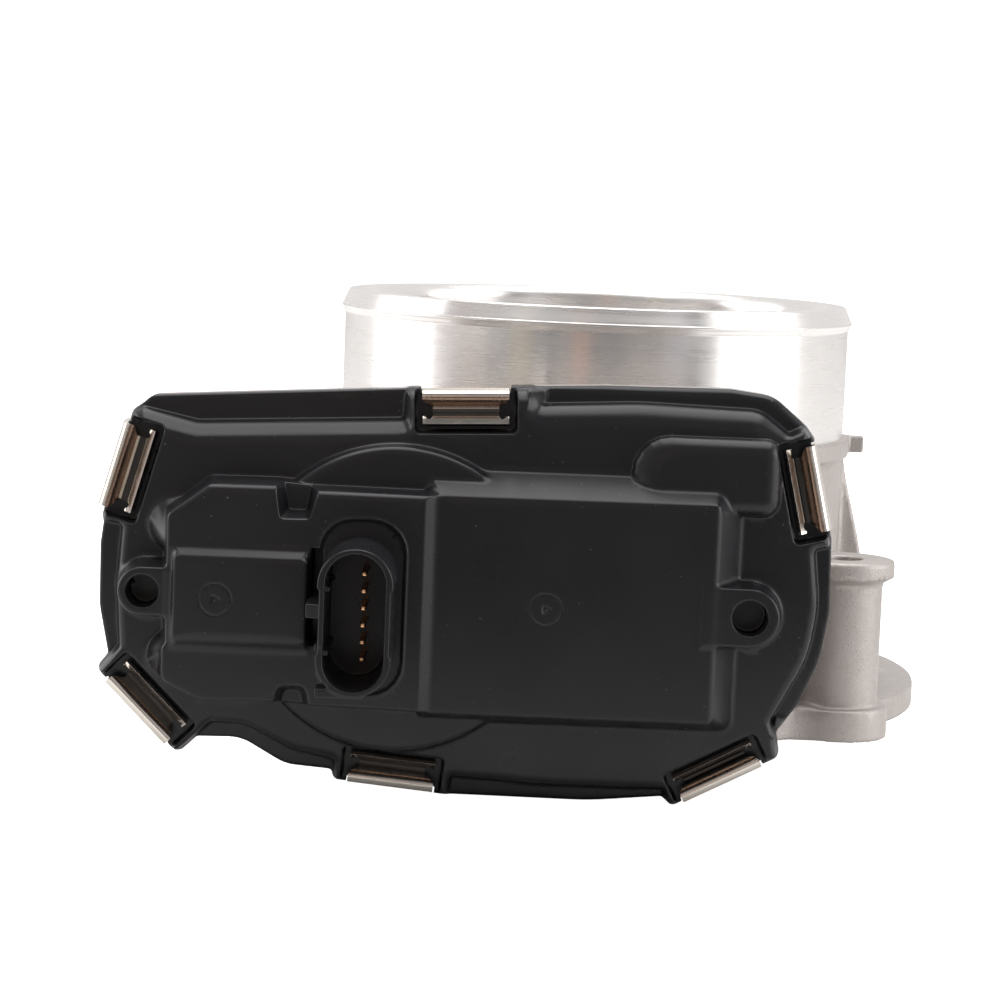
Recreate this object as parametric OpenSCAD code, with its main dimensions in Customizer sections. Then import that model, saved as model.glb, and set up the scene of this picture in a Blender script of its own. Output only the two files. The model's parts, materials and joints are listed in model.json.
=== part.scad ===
// Electronic throttle body: cast housing, butterfly valve, geared motor drive and clipped cover.
// Millimetres. Origin: centre of the air bore on the manifold face. +Z runs up the bore to the
// inlet lip, -Y points at the gear cover, +X is to the right when looking at the cover.

/* [Air bore and neck] */
// Diameter of the air bore
bore_d = 87; // [86:0.5:88]
// Outer diameter of the turned neck
neck_d = 98; // [97:0.5:99]
// Height from the manifold face to the inlet lip
body_h = 76.6; // [76:0.2:80]
// Diameter of the hose-retaining lip
lip_d = 99.5; // [99:0.1:101]
// Height of the lip band
lip_h = 5.2; // [4:0.2:7]

/* [Manifold flange] */
// Diameter of the round flange
flange_d = 130; // [128:1:132]
// Thickness of the flange
flange_t = 5; // [4:0.5:7]
// Side of the square of mounting bolts
bolt_spacing = 91; // [90:0.5:92]
// Diameter of the mounting bolt holes
bolt_hole_d = 7; // [6:0.5:8]
// Height of the bolt seats above the manifold face
boss_h = 32.6; // [30:0.2:34]
// Diameter of the bolt seat at the top of a boss
seat_d = 18.8; // [18:0.2:19]

/* [Valve] */
// Height of the shaft above the manifold face
shaft_z = 26; // [26:0.1:26.5]
// Diameter of the throttle shaft
shaft_d = 10; // [9:0.5:10]
// Thickness of the valve plate
plate_t = 2.4; // [2:0.1:3]
// Radial gap between plate and bore
plate_gap = 0.3; // [0.2:0.05:0.5]
// Opening angle that the springs hold with no power
rest_angle = 7; // [5:1:8]

/* [Gears] */
// Teeth of the sector gear, counted on its full circle
sector_teeth = 42; // [42:1:42]
// Teeth of the small intermediate gear
small_teeth = 14; // [14:1:14]
// Module of the slow gear pair
slow_module = 1.25; // [1.25:0.01:1.25]
// Teeth of the large intermediate gear
large_teeth = 48; // [48:1:48]
// Teeth of the motor pinion
pinion_teeth = 12; // [12:1:12]
// Module of the fast gear pair
fast_module = 1; // [1:0.01:1]

/* [Motor] */
// Diameter of the motor can
motor_d = 24; // [23:0.5:24]
// Length of the motor can
motor_len = 37; // [34:1:37]

/* [Cover] */
// Wall of the moulded cover
cover_wall = 2.2; // [2:0.1:2.4]
// Wall of the cast gear chamber
chamber_wall = 2.4; // [2.2:0.1:2.6]
// Length of a spring clip
clip_len = 15; // [14:0.5:16]
// Thickness of the clip steel
clip_t = 0.8; // [0.6:0.1:0.9]
// Pitch of the connector terminals
terminal_pitch = 2.92; // [2.8:0.02:3]

/* [Hidden] */
$fn = 96;
bore_r = bore_d / 2;
neck_r = neck_d / 2;
lip_r = lip_d / 2;
flange_r = flange_d / 2;
bolt_at = bolt_spacing / 2;
seat_r = seat_d / 2;
shaft_r = shaft_d / 2;
motor_r = motor_d / 2;
eps = 0.01;

// Depth planes along Y, from the engine side of the gear chamber to the connector mouth
floor_back = -55.2;
floor_front = -57.6;
rim_back = -64;
parting = -67;
rim_front = -69.5;
cap_inner = -71.3;
cap_front = -73.5;
disc_front = -76;
box_inner = -77.3;
box_front = -79.5;
tall_front = -81;
pad_front = -82.8;
shroud_front = -97;
recess_floor = -80.8;
socket_floor = -80;
latch_slot_floor = -73.4;

// Shaft lines in the X-Z plane
slow_centres = slow_module * (sector_teeth + small_teeth) / 2;
fast_centres = fast_module * (large_teeth + pinion_teeth) / 2;
valve_axis = [0, shaft_z];
gear_axis = [-slow_centres, shaft_z];
motor_axis = [-slow_centres - fast_centres, shaft_z];

// Stations along the throttle shaft
bearing_front = -57.4;
bearing_back = -51.4;
front_seal_back = -48.4;
rear_seal_front = 45;
rear_bearing_front = 47;
rear_bearing_back = 57;
rear_boss_end = 60;
bearing_r = 11;
bearing_bore_r = 9.2;
inner_race_r = 6.8;
ball_r = 1.1;
rear_seat_r = 7.5;
running_gap = 0.06;

// Return spring, wound round the bearing hub in its own annular pocket
spring_r = 16.2;
spring_wire_r = 0.9;
spring_turns = 3.75;
spring_back = -49.8;
spring_front = -58.2;
spring_end_angle = -22;
spring_bend = 1.8;
spring_pocket_in = 13.4;
spring_pocket_out = 19;
spring_pocket_back = -48.6;
lug_r = 16;
lug_angle = -10;
lug_pin_r = 2.2;

// Gear stations along Y
large_front = -63.7;
large_back = -60.2;
small_front = -69;
sector_front = -68.6;
sector_back = -64.4;
hub_front = -70;
hub_back = -60.5;
rotor_front = -72.2;
pinion_front = -64.2;
pinion_back = -59.9;
pin_back = -48.5;
pin_r = 2.5;
pressure_angle = 25;
backlash = 0.12;

// Plate screws: distance from the middle of the shaft, and height of the flats they bear on
screw_at = 18;
screw_flat = 3.6;

// Motor stations along Y
can_front = -55.5;
can_back = can_front + motor_len;
pocket_back = -17;
motor_shaft_r = 1.6;
end_plate_front = -59.2;
motor_screw_reach = 16.5;
contact_x = -74.5;
contact_rise = 5;

// Connector
terminal_x = -39.9;
terminal_mid_z = 24.5;
socket_mid = [-41, 24.55];
socket_w = 12.7;
socket_h = 24.9;
// Wall of the shroud at its sides and at its ends
socket_wall = [1.3, 0.85];
socket_r = 6.2;
socket_inner_r = 5;
terminal_tip = -88.5;
latch_front = -90;
rib_front = -92;

// Sensor board in the low housing, and the pegs that hold it
board_size = [30, 28];
board_front = -76.2;
board_back = -75;
peg_at = [12, 11];

// Ties from the chamber floor and the motor pocket back to the cast body: [low corner, size]
floor_tie = [[-30, floor_back - 1, 2], [60, 20, 44]];
motor_tie = [[-58, -44, 12], [22, 28, 28]];

// Closed-stop screw and its block
stop_x = 16;
stop_y = floor_front - 2.5;
stop_z = 28.2;

// Outer edge of the cover and of the chamber rim: [x, z, corner radius], clockwise
rim_outline = [
    [-78.6, 59.2, 3], [-30, 62.4, 60], [0, 63.8, 60], [22, 64.1, 12], [29.4, 63.2, 7],
    [34.6, 58.8, 4], [36.6, 55.9, 1.5], [40.6, 38.5, 2], [41, 26, 12], [39.6, 17, 20],
    [36.2, 9.2, 15], [32.4, 3.9, 2], [33.2, -0.2, 1.5], [14.8, -9.7, 1], [13.2, -8.1, 1],
    [0, -9.4, 60], [-26, -9.2, 20], [-44.8, -7.2, 1], [-45.4, -5.6, 0.8], [-53.5, -5, 8],
    [-61.5, -0.5, 8], [-69.6, -0.7, 1.5], [-72.6, -3.7, 1.5], [-87, 10.7, 1.2],
    [-85.1, 13.2, 2], [-86.9, 22, 12], [-87, 33, 10], [-86.2, 39.6, 2], [-81.7, 56.3, 1.5]];

// Raised face of the cover, with an ear that reaches the edge on each side of every clip
cap_outline = [
    [-79.9, 57.3, 1], [-70.7, 55.6, 6], [-34.6, 57.2, 0.8], [-34.3, 61.7, 0.6], [-12.6, 62.7, 0.6],
    [-11, 60.1, 0.8], [6, 61, 60], [26.8, 60.5, 5], [32, 56.6, 1], [34.6, 57.9, 0.6],
    [36.2, 55.8, 1], [39.9, 38.6, 0.8], [40, 37.6, 0.5], [37.4, 36.9, 0.8], [38.5, 27, 20],
    [37.2, 18.2, 20], [31.2, 6.6, 0.8], [32, 4.4, 0.8], [32.7, 0.1, 0.8], [14.9, -9.1, 0.5],
    [13.5, -7.9, 0.5], [13.2, -6.2, 0.6], [-8, -6.3, 40], [-24.3, -5.5, 0.6], [-24.7, -8.8, 0.4],
    [-44.4, -6.9, 0.5], [-44.9, -3.2, 0.8], [-52.2, -1.7, 8], [-60.6, 2.5, 8],
    [-66.6, 2.6, 2], [-72.5, -3.1, 0.6], [-86.4, 10.8, 0.5], [-82.9, 15.3, 1], [-83.6, 26, 20],
    [-82.9, 36.8, 1], [-86.4, 37.3, 0.4], [-85.8, 39.8, 1], [-81.5, 56, 1]];

// Inside of the gear chamber
chamber_outline = [
    [-76, 51.5, 6], [-30, 54.5, 60], [0, 57.6, 60], [28.6, 57.4, 9], [34.4, 38, 12],
    [34.4, 25, 20], [28.5, 7, 14], [12, -2.6, 14], [-30, -2.6, 12], [-51, 2, 10],
    [-58, 6, 8], [-71, 7, 8], [-80.4, 17, 10], [-80.8, 35, 12]];

// Low part of the connector and sensor housing, then its taller part
box_outline = [[-30, 44.2, 0.5], [20.2, 44.1, 1], [20.2, 7, 1], [-30, 7, 0.5]];
tall_outline = [
    [-67.2, 45.1, 2], [-55.7, 45.2, 0.8], [-54.2, 39.8, 1], [-50.2, 39.9, 1], [-48.6, 44.5, 0.8],
    [-28.8, 44.3, 1], [-28.8, 7.4, 1], [-48.7, 7.6, 0.8], [-49.8, 11, 1], [-54.4, 10.9, 1],
    [-55.4, 8.1, 0.8], [-68, 7.9, 3], [-74.6, 11.1, 2], [-74.6, 16.6, 1], [-74, 17.6, 1],
    [-74.2, 39.8, 1.5]];
pad_outline = [[-72.6, 34.4, 1], [-49.5, 34.4, 1], [-49.5, 17.4, 1], [-72.6, 17.4, 1]];
bulge_outline = [[6, 57, 6.5], [30.4, 57, 3], [30.4, 43.4, 3], [6, 43.4, 6.5]];
recess_mid = [-40.6, 25];
recess_size = [14.2, 29.8];
recess_r = 5.5;
// Slot beside the connector, under its latch: [x, z], [width, height]
latch_slot_at = [-49.4, 18.2];
latch_slot_size = [1.9, 16.6];

// Blind holes in the two ears of the cover: [x, z, hole radius, ear radius]
ear_left = [-78.2, 26.3, 2.8, 4.2];
ear_right = [26.2, 25.5, 3.05, 5.1];
ear_floor = -74.3;

// Spring clips: [x, z, direction of the outward normal in degrees]
clip_places = [
    [-24.2, 62.75, 92.2], [-85.4, 47.4, 164.4], [38.7, 48, 13],
    [-80.15, 3.25, 225], [-34.9, -8.15, 264.9], [23.6, -5.35, -62.4]];
clip_pocket_w = 17.4;
clip_pocket_d = 7.4;

// Middle line of a clip's bent strip: [outwards, forwards from the rim], from the rear hook to the front lip
clip_path = [
    [-2.9, -6.6], [-2, -6.1], [-1.2, -6.1], [-0.6, -5.8], [-0.4, -5.2], [-0.4, 0.5], [-0.75, 2.3],
    [-1.1, 2.9], [-1.55, 3.1], [-2, 2.8], [-2.9, 1.3], [-3.5, 0.6], [-4.4, 0.5], [-4.9, 1], [-6.1, 1.8]];
// Ends of the trough in the strip, where it's narrower than the lip: [outwards from, outwards to]
clip_trough = [-4.8, -2.4];

// ---------- outlines ----------

function unit(v) = v / norm(v);
function flat(p) = [p[0], p[1]];
function wrap(a) = a > 180 ? a - 360 : a < -180 ? a + 360 : a;

// Points of one rounded corner q between its neighbours p and s
function corner(p, q, s, r, n = 6) =
    let (a = unit(p - q), b = unit(s - q), half = acos(a * b) / 2,
         c = q + unit(a + b) * r / sin(half),
         from = q + a * r / tan(half) - c, to = q + b * r / tan(half) - c,
         a0 = atan2(from[1], from[0]), sweep = wrap(atan2(to[1], to[0]) - a0))
    [for (k = [0:n]) c + r * [cos(a0 + sweep * k / n), sin(a0 + sweep * k / n)]];

// Closed outline with its corners rounded
function rounded(o) =
    let (m = len(o))
    [for (i = [0:m - 1]) each corner(flat(o[(i + m - 1) % m]), flat(o[i]), flat(o[(i + 1) % m]), o[i][2])];

// Clockwise outline moved inwards by d
function inset(o, d) =
    let (m = len(o))
    [for (i = [0:m - 1])
        let (p = flat(o[(i + m - 1) % m]), q = flat(o[i]), s = flat(o[(i + 1) % m]),
             u = unit(q - p), v = unit(s - q),
             nu = [u[1], -u[0]], nv = [v[1], -v[0]],
             convex = u[0] * v[1] - u[1] * v[0] < 0)
        concat(q + d * (nu + nv) / (1 + nu * nv), [max(o[i][2] + (convex ? -d : d), 0.2)])];

// Children are flat shapes in X-Z, extruded from the back plane to the front plane
module slab(front, back) {
    translate([0, back, 0])
        rotate([90, 0, 0])
            linear_extrude(back - front)
                children();
}

// Cylinder along Y at a point of the X-Z plane
module rod(at, r, front, back) {
    translate([at[0], back, at[1]])
        rotate([90, 0, 0])
            cylinder(r = r, h = back - front);
}

// Ring along Y
module ring(at, r_out, r_in, front, back) {
    difference() {
        rod(at, r_out, front, back);
        rod(at, r_in, front - 1, back + 1);
    }
}

// Upright rectangle with rounded corners, centred in X-Z
function round_rect(mid, size, r) =
    let (x = size[0] / 2, z = size[1] / 2)
    rounded([for (c = [[-x, z], [x, z], [x, -z], [-x, -z]]) [mid[0] + c[0], mid[1] + c[1], r]]);

// Moves a child drawn at the origin to a clip's place: local +X points outwards
module at_clip(i) {
    p = clip_places[i];
    translate([p[0], 0, p[1]])
        rotate([0, -p[2], 0])
            children();
}

// ---------- gears ----------

function involute(r, base) = r <= base ? 0 : sqrt(pow(r / base, 2) - 1) * 180 / PI - acos(base / r);

// Half the width of a tooth, in degrees, at radius r
function half_tooth(r, m, z) =
    let (rp = m * z / 2, base = rp * cos(pressure_angle))
    90 / z - backlash / 2 / rp * 180 / PI + involute(rp, base) - involute(r, base);

// Outline of one tooth centred on angle a, from its root round its tip
function tooth(a, m, z) =
    let (rp = m * z / 2, root = rp - 1.1 * m, tip = rp + 0.85 * m,
         rs = [root, max(root + 0.2 * m, rp * cos(pressure_angle)), rp, rp + 0.45 * m, tip])
    concat([for (i = [0:4]) let (h = half_tooth(rs[i], m, z)) rs[i] * [cos(a - h), sin(a - h)]],
           [for (i = [4:-1:0]) let (h = half_tooth(rs[i], m, z)) rs[i] * [cos(a + h), sin(a + h)]]);

// Full gear with a tooth centred on angle a0
module gear(at, m, z, a0, front, back) {
    translate([at[0], 0, at[1]])
        slab(front, back)
            polygon([for (k = [0:z - 1]) each tooth(a0 + k * 360 / z, m, z)]);
}

// ---------- housing ----------

module neck() {
    rotate_extrude($fn = 180)
        polygon([
            [bore_r - 3, 0], [neck_r, 0], [neck_r, body_h - lip_h],
            [lip_r, body_h - lip_h + 1], [lip_r, body_h - 2.9], [lip_r - 1.5, body_h],
            [bore_r - 3, body_h]]);
}

// Ledge between the cast body and the turned neck, with its locating tab
module ledge() {
    ledge_z = 47.6;
    ledge_t = 3.6;
    translate([0, 0, ledge_z])
        cylinder(r = neck_r + 1.2, h = ledge_t, $fn = 180);
    translate([neck_r - 1, -1.6, ledge_z + 0.4])
        cube([5.4, 3.2, ledge_t - 0.4]);
}

// Tapered rib from the ledge down to the flange
module gusset(angle) {
    rotate([0, 0, angle])
        translate([0, 2, 0])
            rotate([90, 0, 0])
                linear_extrude(4)
                    polygon([[neck_r - 2, 1], [61, 1], [59.8, 6], [53.8, 28.4], [neck_r + 0.6, 47.8], [neck_r - 2, 47.8]]);
}

// Bolt column with foot, seat and a web back to the body
module bolt_boss(sx, sy) {
    foot_h = 5.8;
    column_r = 7.4;
    seat_t = 4.2;
    translate([sx * bolt_at, sy * bolt_at, 0]) {
        cylinder(r = seat_r, h = foot_h);
        cylinder(r = column_r, h = boss_h - 1);
        translate([0, 0, boss_h - seat_t])
            cylinder(r1 = column_r, r2 = seat_r, h = 1.2);
        translate([0, 0, boss_h - seat_t + 1.2])
            cylinder(r = seat_r, h = seat_t - 1.2);
        rotate([0, 0, atan2(-sy, -sx)])
            translate([0, -4, 0])
                cube([22, 8, boss_h - seat_t - 1]);
    }
}

module gear_chamber() {
    slab(parting, floor_back)
        polygon(rounded(inset(chamber_outline, -chamber_wall)));
    slab(parting, rim_back)
        polygon(rounded(rim_outline));
}

module drive_bosses() {
    rod(valve_axis, 20.8, floor_front, -38);
    rod(valve_axis, 11, neck_r - 8, rear_boss_end);
    rod(motor_axis, motor_r + 2.6, floor_front, pocket_back + 2.6);
    rod(gear_axis, 5.5, floor_front, pin_back + 1.5);
    for (tie = [floor_tie, motor_tie])
        translate(tie[0])
            cube(tie[1]);
}

module drive_cuts() {
    rod(valve_axis, shaft_r + 0.3, -60, rear_bearing_front);
    rod(valve_axis, bearing_r, floor_front - 1, bearing_back);
    rod(valve_axis, 8, bearing_back - 1, front_seal_back);
    rod(valve_axis, rear_seat_r, rear_seal_front, rear_boss_end + 1);
    rod(motor_axis, motor_r + 0.2, floor_front - 1, pocket_back);
    rod(gear_axis, pin_r, floor_front - 1, pin_back);
    difference() {
        rod(valve_axis, spring_pocket_out, floor_front - 1, spring_pocket_back);
        rod(valve_axis, spring_pocket_in, floor_front - 2, spring_pocket_back + 1);
    }
    for (s = [-1, 1])
        rod(motor_axis + [0, s * motor_screw_reach], 1.5, floor_front - 1, floor_back + 4);
}

// Block on the chamber floor that carries the closed-stop screw
module stop_block() {
    translate([stop_x - 4.5, stop_y - 2.5, 34])
        cube([9, floor_front - stop_y + 2.5, 8]);
}

module throttle_housing() color("gainsboro") {
    difference() {
        union() {
            difference() {
                union() {
                    neck();
                    cylinder(r = flange_r, h = flange_t, $fn = 180);
                    ledge();
                    for (angle = [0, 60, 120])
                        gusset(angle);
                    for (sx = [-1, 1], sy = [-1, 1])
                        bolt_boss(sx, sy);
                    gear_chamber();
                    drive_bosses();
                    for (s = [-1, 1])
                        rod(motor_axis + [0, s * motor_screw_reach], 3.6, floor_front, floor_back + 5);
                }
                // Clean front of the chamber, where the round flange would stand in it
                slab(parting - 1, floor_front)
                    polygon(rounded(chamber_outline));
                // Space under the rim, outside the chamber wall
                translate([0, 0, -20])
                    difference() {
                        translate([-100, rim_back, 0])
                            cube([200, floor_back - rim_back, 100]);
                        translate([0, 0, 20])
                            slab(rim_back - 1, floor_back + 1)
                                polygon(rounded(inset(chamber_outline, -chamber_wall)));
                    }
            }
            stop_block();
        }
        // Air bore and its rounded lead-in
        translate([0, 0, -20])
            cylinder(r = bore_r, h = body_h + 40, $fn = 180);
        translate([0, 0, body_h - 2.4])
            cylinder(r1 = bore_r, r2 = bore_r + 2.4, h = 2.4 + eps, $fn = 180);
        for (sx = [-1, 1], sy = [-1, 1])
            translate([sx * bolt_at, sy * bolt_at, -1]) {
                cylinder(r = bolt_hole_d / 2, h = boss_h + 2);
                translate([0, 0, boss_h + 1])
                    cylinder(r = 7.5, h = 20);
            }
        drive_cuts();
        clip_notches(rim_back + 1, parting - 1);
        // Groove for the cover seal
        slab(parting - 1, parting + 1.6)
            difference() {
                polygon(rounded(inset(chamber_outline, -2)));
                polygon(rounded(inset(chamber_outline, -0.8)));
            }
        translate([stop_x, stop_y, 30])
            cylinder(r = 2, h = 20);
    }
}

// Shallow notches in the rim that keep the clips from sliding
module clip_notches(back, front) {
    for (i = [0:5])
        at_clip(i)
            translate([-clip_t - 0.1, front, -clip_len / 2 - 0.3])
                cube([6, back - front, clip_len + 0.6]);
}

module end_plug() color("silver")
    difference() {
        rod(valve_axis, rear_seat_r, rear_bearing_back + 1, rear_boss_end + 0.6);
        rod(valve_axis, rear_seat_r - 1, rear_bearing_back, rear_boss_end - 0.4);
    }

module stop_screw() color("dimgray") {
    translate([stop_x, stop_y, stop_z]) {
        cylinder(r1 = 1, r2 = 2, h = 1.8);
        translate([0, 0, 1.8])
            difference() {
                cylinder(r = 2, h = 13.4);
                translate([0, 0, 11.4])
                    cylinder(r = 1.1, h = 3, $fn = 6);
            }
    }
}

// ---------- valve ----------

// Valve parts are drawn with the plate level about the shaft line, then tilted to the rest angle
module valve_frame() {
    translate([0, 0, shaft_z])
        rotate([0, rest_angle, 0])
            children();
}

module throttle_shaft() color("silver")
    valve_frame()
        difference() {
            rod([0, 0], shaft_r, hub_front, rear_bearing_back - 0.5);
            translate([-shaft_r - 1, -bore_r + plate_gap, -plate_t / 2])
                cube([shaft_d + 2, 2 * (bore_r - plate_gap), plate_t]);
            for (s = [-1, 1]) {
                translate([-shaft_r - 1, s * screw_at - 5, screw_flat])
                    cube([shaft_d + 2, 10, shaft_r]);
                translate([0, s * screw_at, -shaft_r - 1])
                    cylinder(r = 2, h = shaft_d + 2);
            }
        }

module throttle_plate() color("lightgray")
    valve_frame()
        difference() {
            translate([0, 0, -plate_t / 2])
                cylinder(r = bore_r - plate_gap, h = plate_t, $fn = 180);
            for (s = [-1, 1])
                translate([0, s * screw_at, -plate_t])
                    cylinder(r = 2, h = 2 * plate_t);
        }

module plate_screws() color("gray")
    valve_frame()
        for (s = [-1, 1])
            translate([0, s * screw_at, 0])
                difference() {
                    union() {
                        translate([0, 0, -shaft_r + 0.2])
                            cylinder(r = 2, h = shaft_r - 0.2 + screw_flat);
                        translate([0, 0, screw_flat])
                            cylinder(r = 3.8, h = 1.6);
                        translate([0, 0, screw_flat + 1.6])
                            cylinder(r1 = 3.8, r2 = 2.9, h = 0.8);
                    }
                    translate([0, 0, screw_flat + 0.8])
                        cylinder(r = 1.7, h = 2, $fn = 6);
                }

// ---------- bearings and seals ----------

module front_bearing_outer_race() color("silver")
    ring(valve_axis, bearing_r, bearing_bore_r, bearing_front, bearing_back);

module front_bearing_inner_race() color("silver")
    ring(valve_axis, inner_race_r, shaft_r, bearing_front, bearing_back);

module front_bearing_balls() color("white") {
    ball_count = 9;
    ball_line = (bearing_bore_r + inner_race_r) / 2;
    for (k = [0:ball_count - 1])
        translate([ball_line * cos(k * 360 / ball_count), (bearing_front + bearing_back) / 2,
                   shaft_z + ball_line * sin(k * 360 / ball_count)])
            sphere(r = ball_r, $fn = 32);
}

module front_seal() color("black")
    ring(valve_axis, 8, shaft_r + running_gap, bearing_back, front_seal_back);

module rear_bearing() color("silver")
    ring(valve_axis, rear_seat_r, shaft_r + running_gap, rear_bearing_front, rear_bearing_back);

module rear_seal() color("black")
    ring(valve_axis, rear_seat_r, shaft_r + running_gap, rear_seal_front, rear_bearing_front);

// ---------- gear train ----------

module sector_gear() color("ivory") {
    pitch = 360 / sector_teeth;
    first = -2;
    last = 10;
    root_r = slow_module * (sector_teeth / 2 - 1.1);
    hub_r = 9;
    difference() {
        union() {
            translate([0, 0, shaft_z])
                slab(sector_front, sector_back)
                    polygon(concat(
                        [[0, 0]],
                        [for (k = [first:last]) each tooth(180 + k * pitch, slow_module, sector_teeth)]));
            rod(valve_axis, hub_r, hub_front, hub_back);
            // Arm and lug that the return spring and the closed stop act on
            translate([0, 0, shaft_z])
                rotate([0, -lug_angle, 0])
                    translate([0, sector_front, -3])
                        cube([lug_r, sector_back - sector_front, 6]);
            rod(valve_axis + lug_r * [cos(lug_angle), sin(lug_angle)], 3, sector_front, sector_back);
            rod(valve_axis + lug_r * [cos(lug_angle), sin(lug_angle)], lug_pin_r, sector_back - 1, hub_back + 0.1);
        }
        rod(valve_axis, shaft_r, hub_front - 1, hub_back + 1);
        // Window that lightens the web between hub and rim
        translate([0, 0, shaft_z])
            slab(sector_front - 1, sector_back + 1)
                polygon(concat(
                    [for (a = [190:10:240]) (root_r - 3.2) * [cos(a), sin(a)]],
                    [for (a = [240:-10:190]) (hub_r + 3) * [cos(a), sin(a)]]));
    }
}

module sensor_rotor() color("dimgray")
    difference() {
        rod(valve_axis, 7, rotor_front, hub_front);
        rod(valve_axis, 2.4, rotor_front - 1, rotor_front + 1);
    }

// Sections of the return spring, [centre, radial, across]: the straight leg that bears on the
// sector's lug, the bend into the coil, and the coil
function radial(a) = [cos(a), 0, sin(a)];
function along(a) = [sin(a), 0, -cos(a)];
function spring_leg(y) = [spring_r * radial(spring_end_angle) + [0, y, shaft_z],
                          radial(spring_end_angle), along(spring_end_angle)];
function spring_bend_at(t) =
    let (a = spring_end_angle, corner_at = spring_r * radial(a) + [0, spring_front - spring_bend, shaft_z])
    [corner_at + spring_bend * ((1 - cos(t)) * along(a) + [0, sin(t), 0]),
     radial(a), cos(t) * along(a) - [0, sin(t), 0]];
function spring_coil(t) =
    let (a = spring_end_angle - asin(spring_bend / spring_r) - 360 * spring_turns * t)
    [spring_r * radial(a) + [0, spring_front + (spring_back - spring_front) * t, shaft_z],
     radial(a), [0, -1, 0]];

module return_spring() color("slategray") {
    coil_rings = 88;
    sides = 8;
    sections = concat(
        [spring_leg(sector_back + 0.4)],
        [for (t = [0:22.5:67.5]) spring_bend_at(t)],
        [for (k = [0:coil_rings]) spring_coil(k / coil_rings)]);
    last = len(sections) - 1;
    points = [for (s = sections, j = [0:sides - 1])
        s[0] + spring_wire_r * (cos(j * 360 / sides) * s[1] + sin(j * 360 / sides) * s[2])];
    sides_of = [for (k = [0:last - 1], j = [0:sides - 1]) let (next = (j + 1) % sides)
        [k * sides + j, (k + 1) * sides + j, (k + 1) * sides + next, k * sides + next]];
    ends = [[for (j = [0:sides - 1]) j], [for (j = [sides - 1:-1:0]) last * sides + j]];
    polyhedron(points, concat(sides_of, ends), convexity = 6);
}

module intermediate_gear() color("ivory")
    difference() {
        union() {
            gear(gear_axis, fast_module, large_teeth, 180, large_front, large_back);
            gear(gear_axis, slow_module, small_teeth, 180 / small_teeth, small_front, large_front);
        }
        rod(gear_axis, pin_r + running_gap, small_front - 1, large_back + 1);
        ring(gear_axis, 19.5, 12.5, large_front - 1, large_front + 1.2);
    }

module intermediate_pin() color("silver")
    rod(gear_axis, pin_r, cap_inner, pin_back);

// ---------- motor ----------

module motor_can() color("silver")
    difference() {
        rod(motor_axis, motor_r, can_front, can_back);
        rod(motor_axis, motor_r - 0.7, can_front - 1, can_back - 0.8);
    }

module motor_magnets() color("dimgray")
    for (s = [-1, 1])
        intersection() {
            ring(motor_axis, motor_r - 0.7, motor_r - 2.6, -52, -24);
            translate([motor_axis[0] - 8, -53, motor_axis[1] + (s > 0 ? 5 : -20)])
                cube([16, 30, 15]);
        }

module motor_armature() color("peru")
    difference() {
        union() {
            rod(motor_axis, motor_r - 3.2, -48, -26);
            rod(motor_axis, 3.4, -53.4, -48);
        }
        rod(motor_axis, motor_shaft_r, -60, -20);
        for (k = [0:4])
            translate([motor_axis[0], -37, motor_axis[1]])
                rotate([0, k * 72, 0])
                    translate([motor_r - 6.6, -12, -0.8])
                        cube([5, 24, 1.6]);
    }

module motor_shaft() color("silver")
    rod(motor_axis, motor_shaft_r, pinion_front - 0.4, can_back - 1.6);

module motor_pinion() color("goldenrod")
    difference() {
        gear(motor_axis, fast_module, pinion_teeth, 180 / pinion_teeth, pinion_front, pinion_back);
        rod(motor_axis, motor_shaft_r, pinion_front - 1, pinion_back + 1);
    }

module motor_end_cap() color("darkslategray")
    difference() {
        union() {
            rod(motor_axis, motor_r - 0.1, floor_front, can_front);
            rod(motor_axis, motor_r, end_plate_front, floor_front);
            for (s = [-1, 1])
                rod(motor_axis + [0, s * motor_screw_reach], 3.4, end_plate_front, floor_front);
            translate([motor_axis[0] - 3.4, end_plate_front, motor_axis[1] - motor_screw_reach])
                cube([6.8, floor_front - end_plate_front, 2 * motor_screw_reach]);
        }
        rod(motor_axis, 3.5, end_plate_front - 1, can_front + 1);
        for (s = [-1, 1])
            rod(motor_axis + [0, s * motor_screw_reach], 1.6, end_plate_front - 1, floor_front + 1);
    }

module motor_front_bush() color("goldenrod")
    ring(motor_axis, 3.5, motor_shaft_r + running_gap, end_plate_front + 0.1, can_front);

module motor_rear_bush() color("goldenrod")
    ring(motor_axis, 3.5, motor_shaft_r + running_gap, can_back - 3.8, can_back - 0.8);

module motor_wave_washer() color("slategray")
    ring(motor_axis, 11, 8, can_back, pocket_back);

module motor_screws() color("gray")
    for (s = [-1, 1]) {
        at = motor_axis + [0, s * motor_screw_reach];
        rod(at, 1.5, end_plate_front, floor_back + 3.6);
        difference() {
            rod(at, 2.9, end_plate_front - 1.8, end_plate_front);
            rod(at, 1.3, end_plate_front - 2.8, end_plate_front - 0.9, $fn = 6);
        }
    }

// ---------- electrics ----------

module motor_contacts() color("peru")
    for (s = [-1, 1])
        translate([contact_x - 0.4, cap_inner + 0.8, shaft_z + s * contact_rise - 1.5])
            cube([0.8, end_plate_front - cap_inner - 0.8, 3]);

// Stamped conductors under the cover face, from the terminals to the motor and the sensor
module lead_frame() color("peru") {
    strip_w = 1.6;
    for (k = [0:5]) {
        z = terminal_mid_z + (k - 2.5) * terminal_pitch;
        if (k == 0 || k == 5) {
            translate([contact_x - 1, cap_inner, z - strip_w / 2])
                cube([terminal_x - contact_x + 1.8, 0.8, strip_w]);
        } else {
            translate([terminal_x - 6 - k, cap_inner, z - strip_w / 2])
                cube([6.8 + k, 0.8, strip_w]);
        }
    }
}

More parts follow.
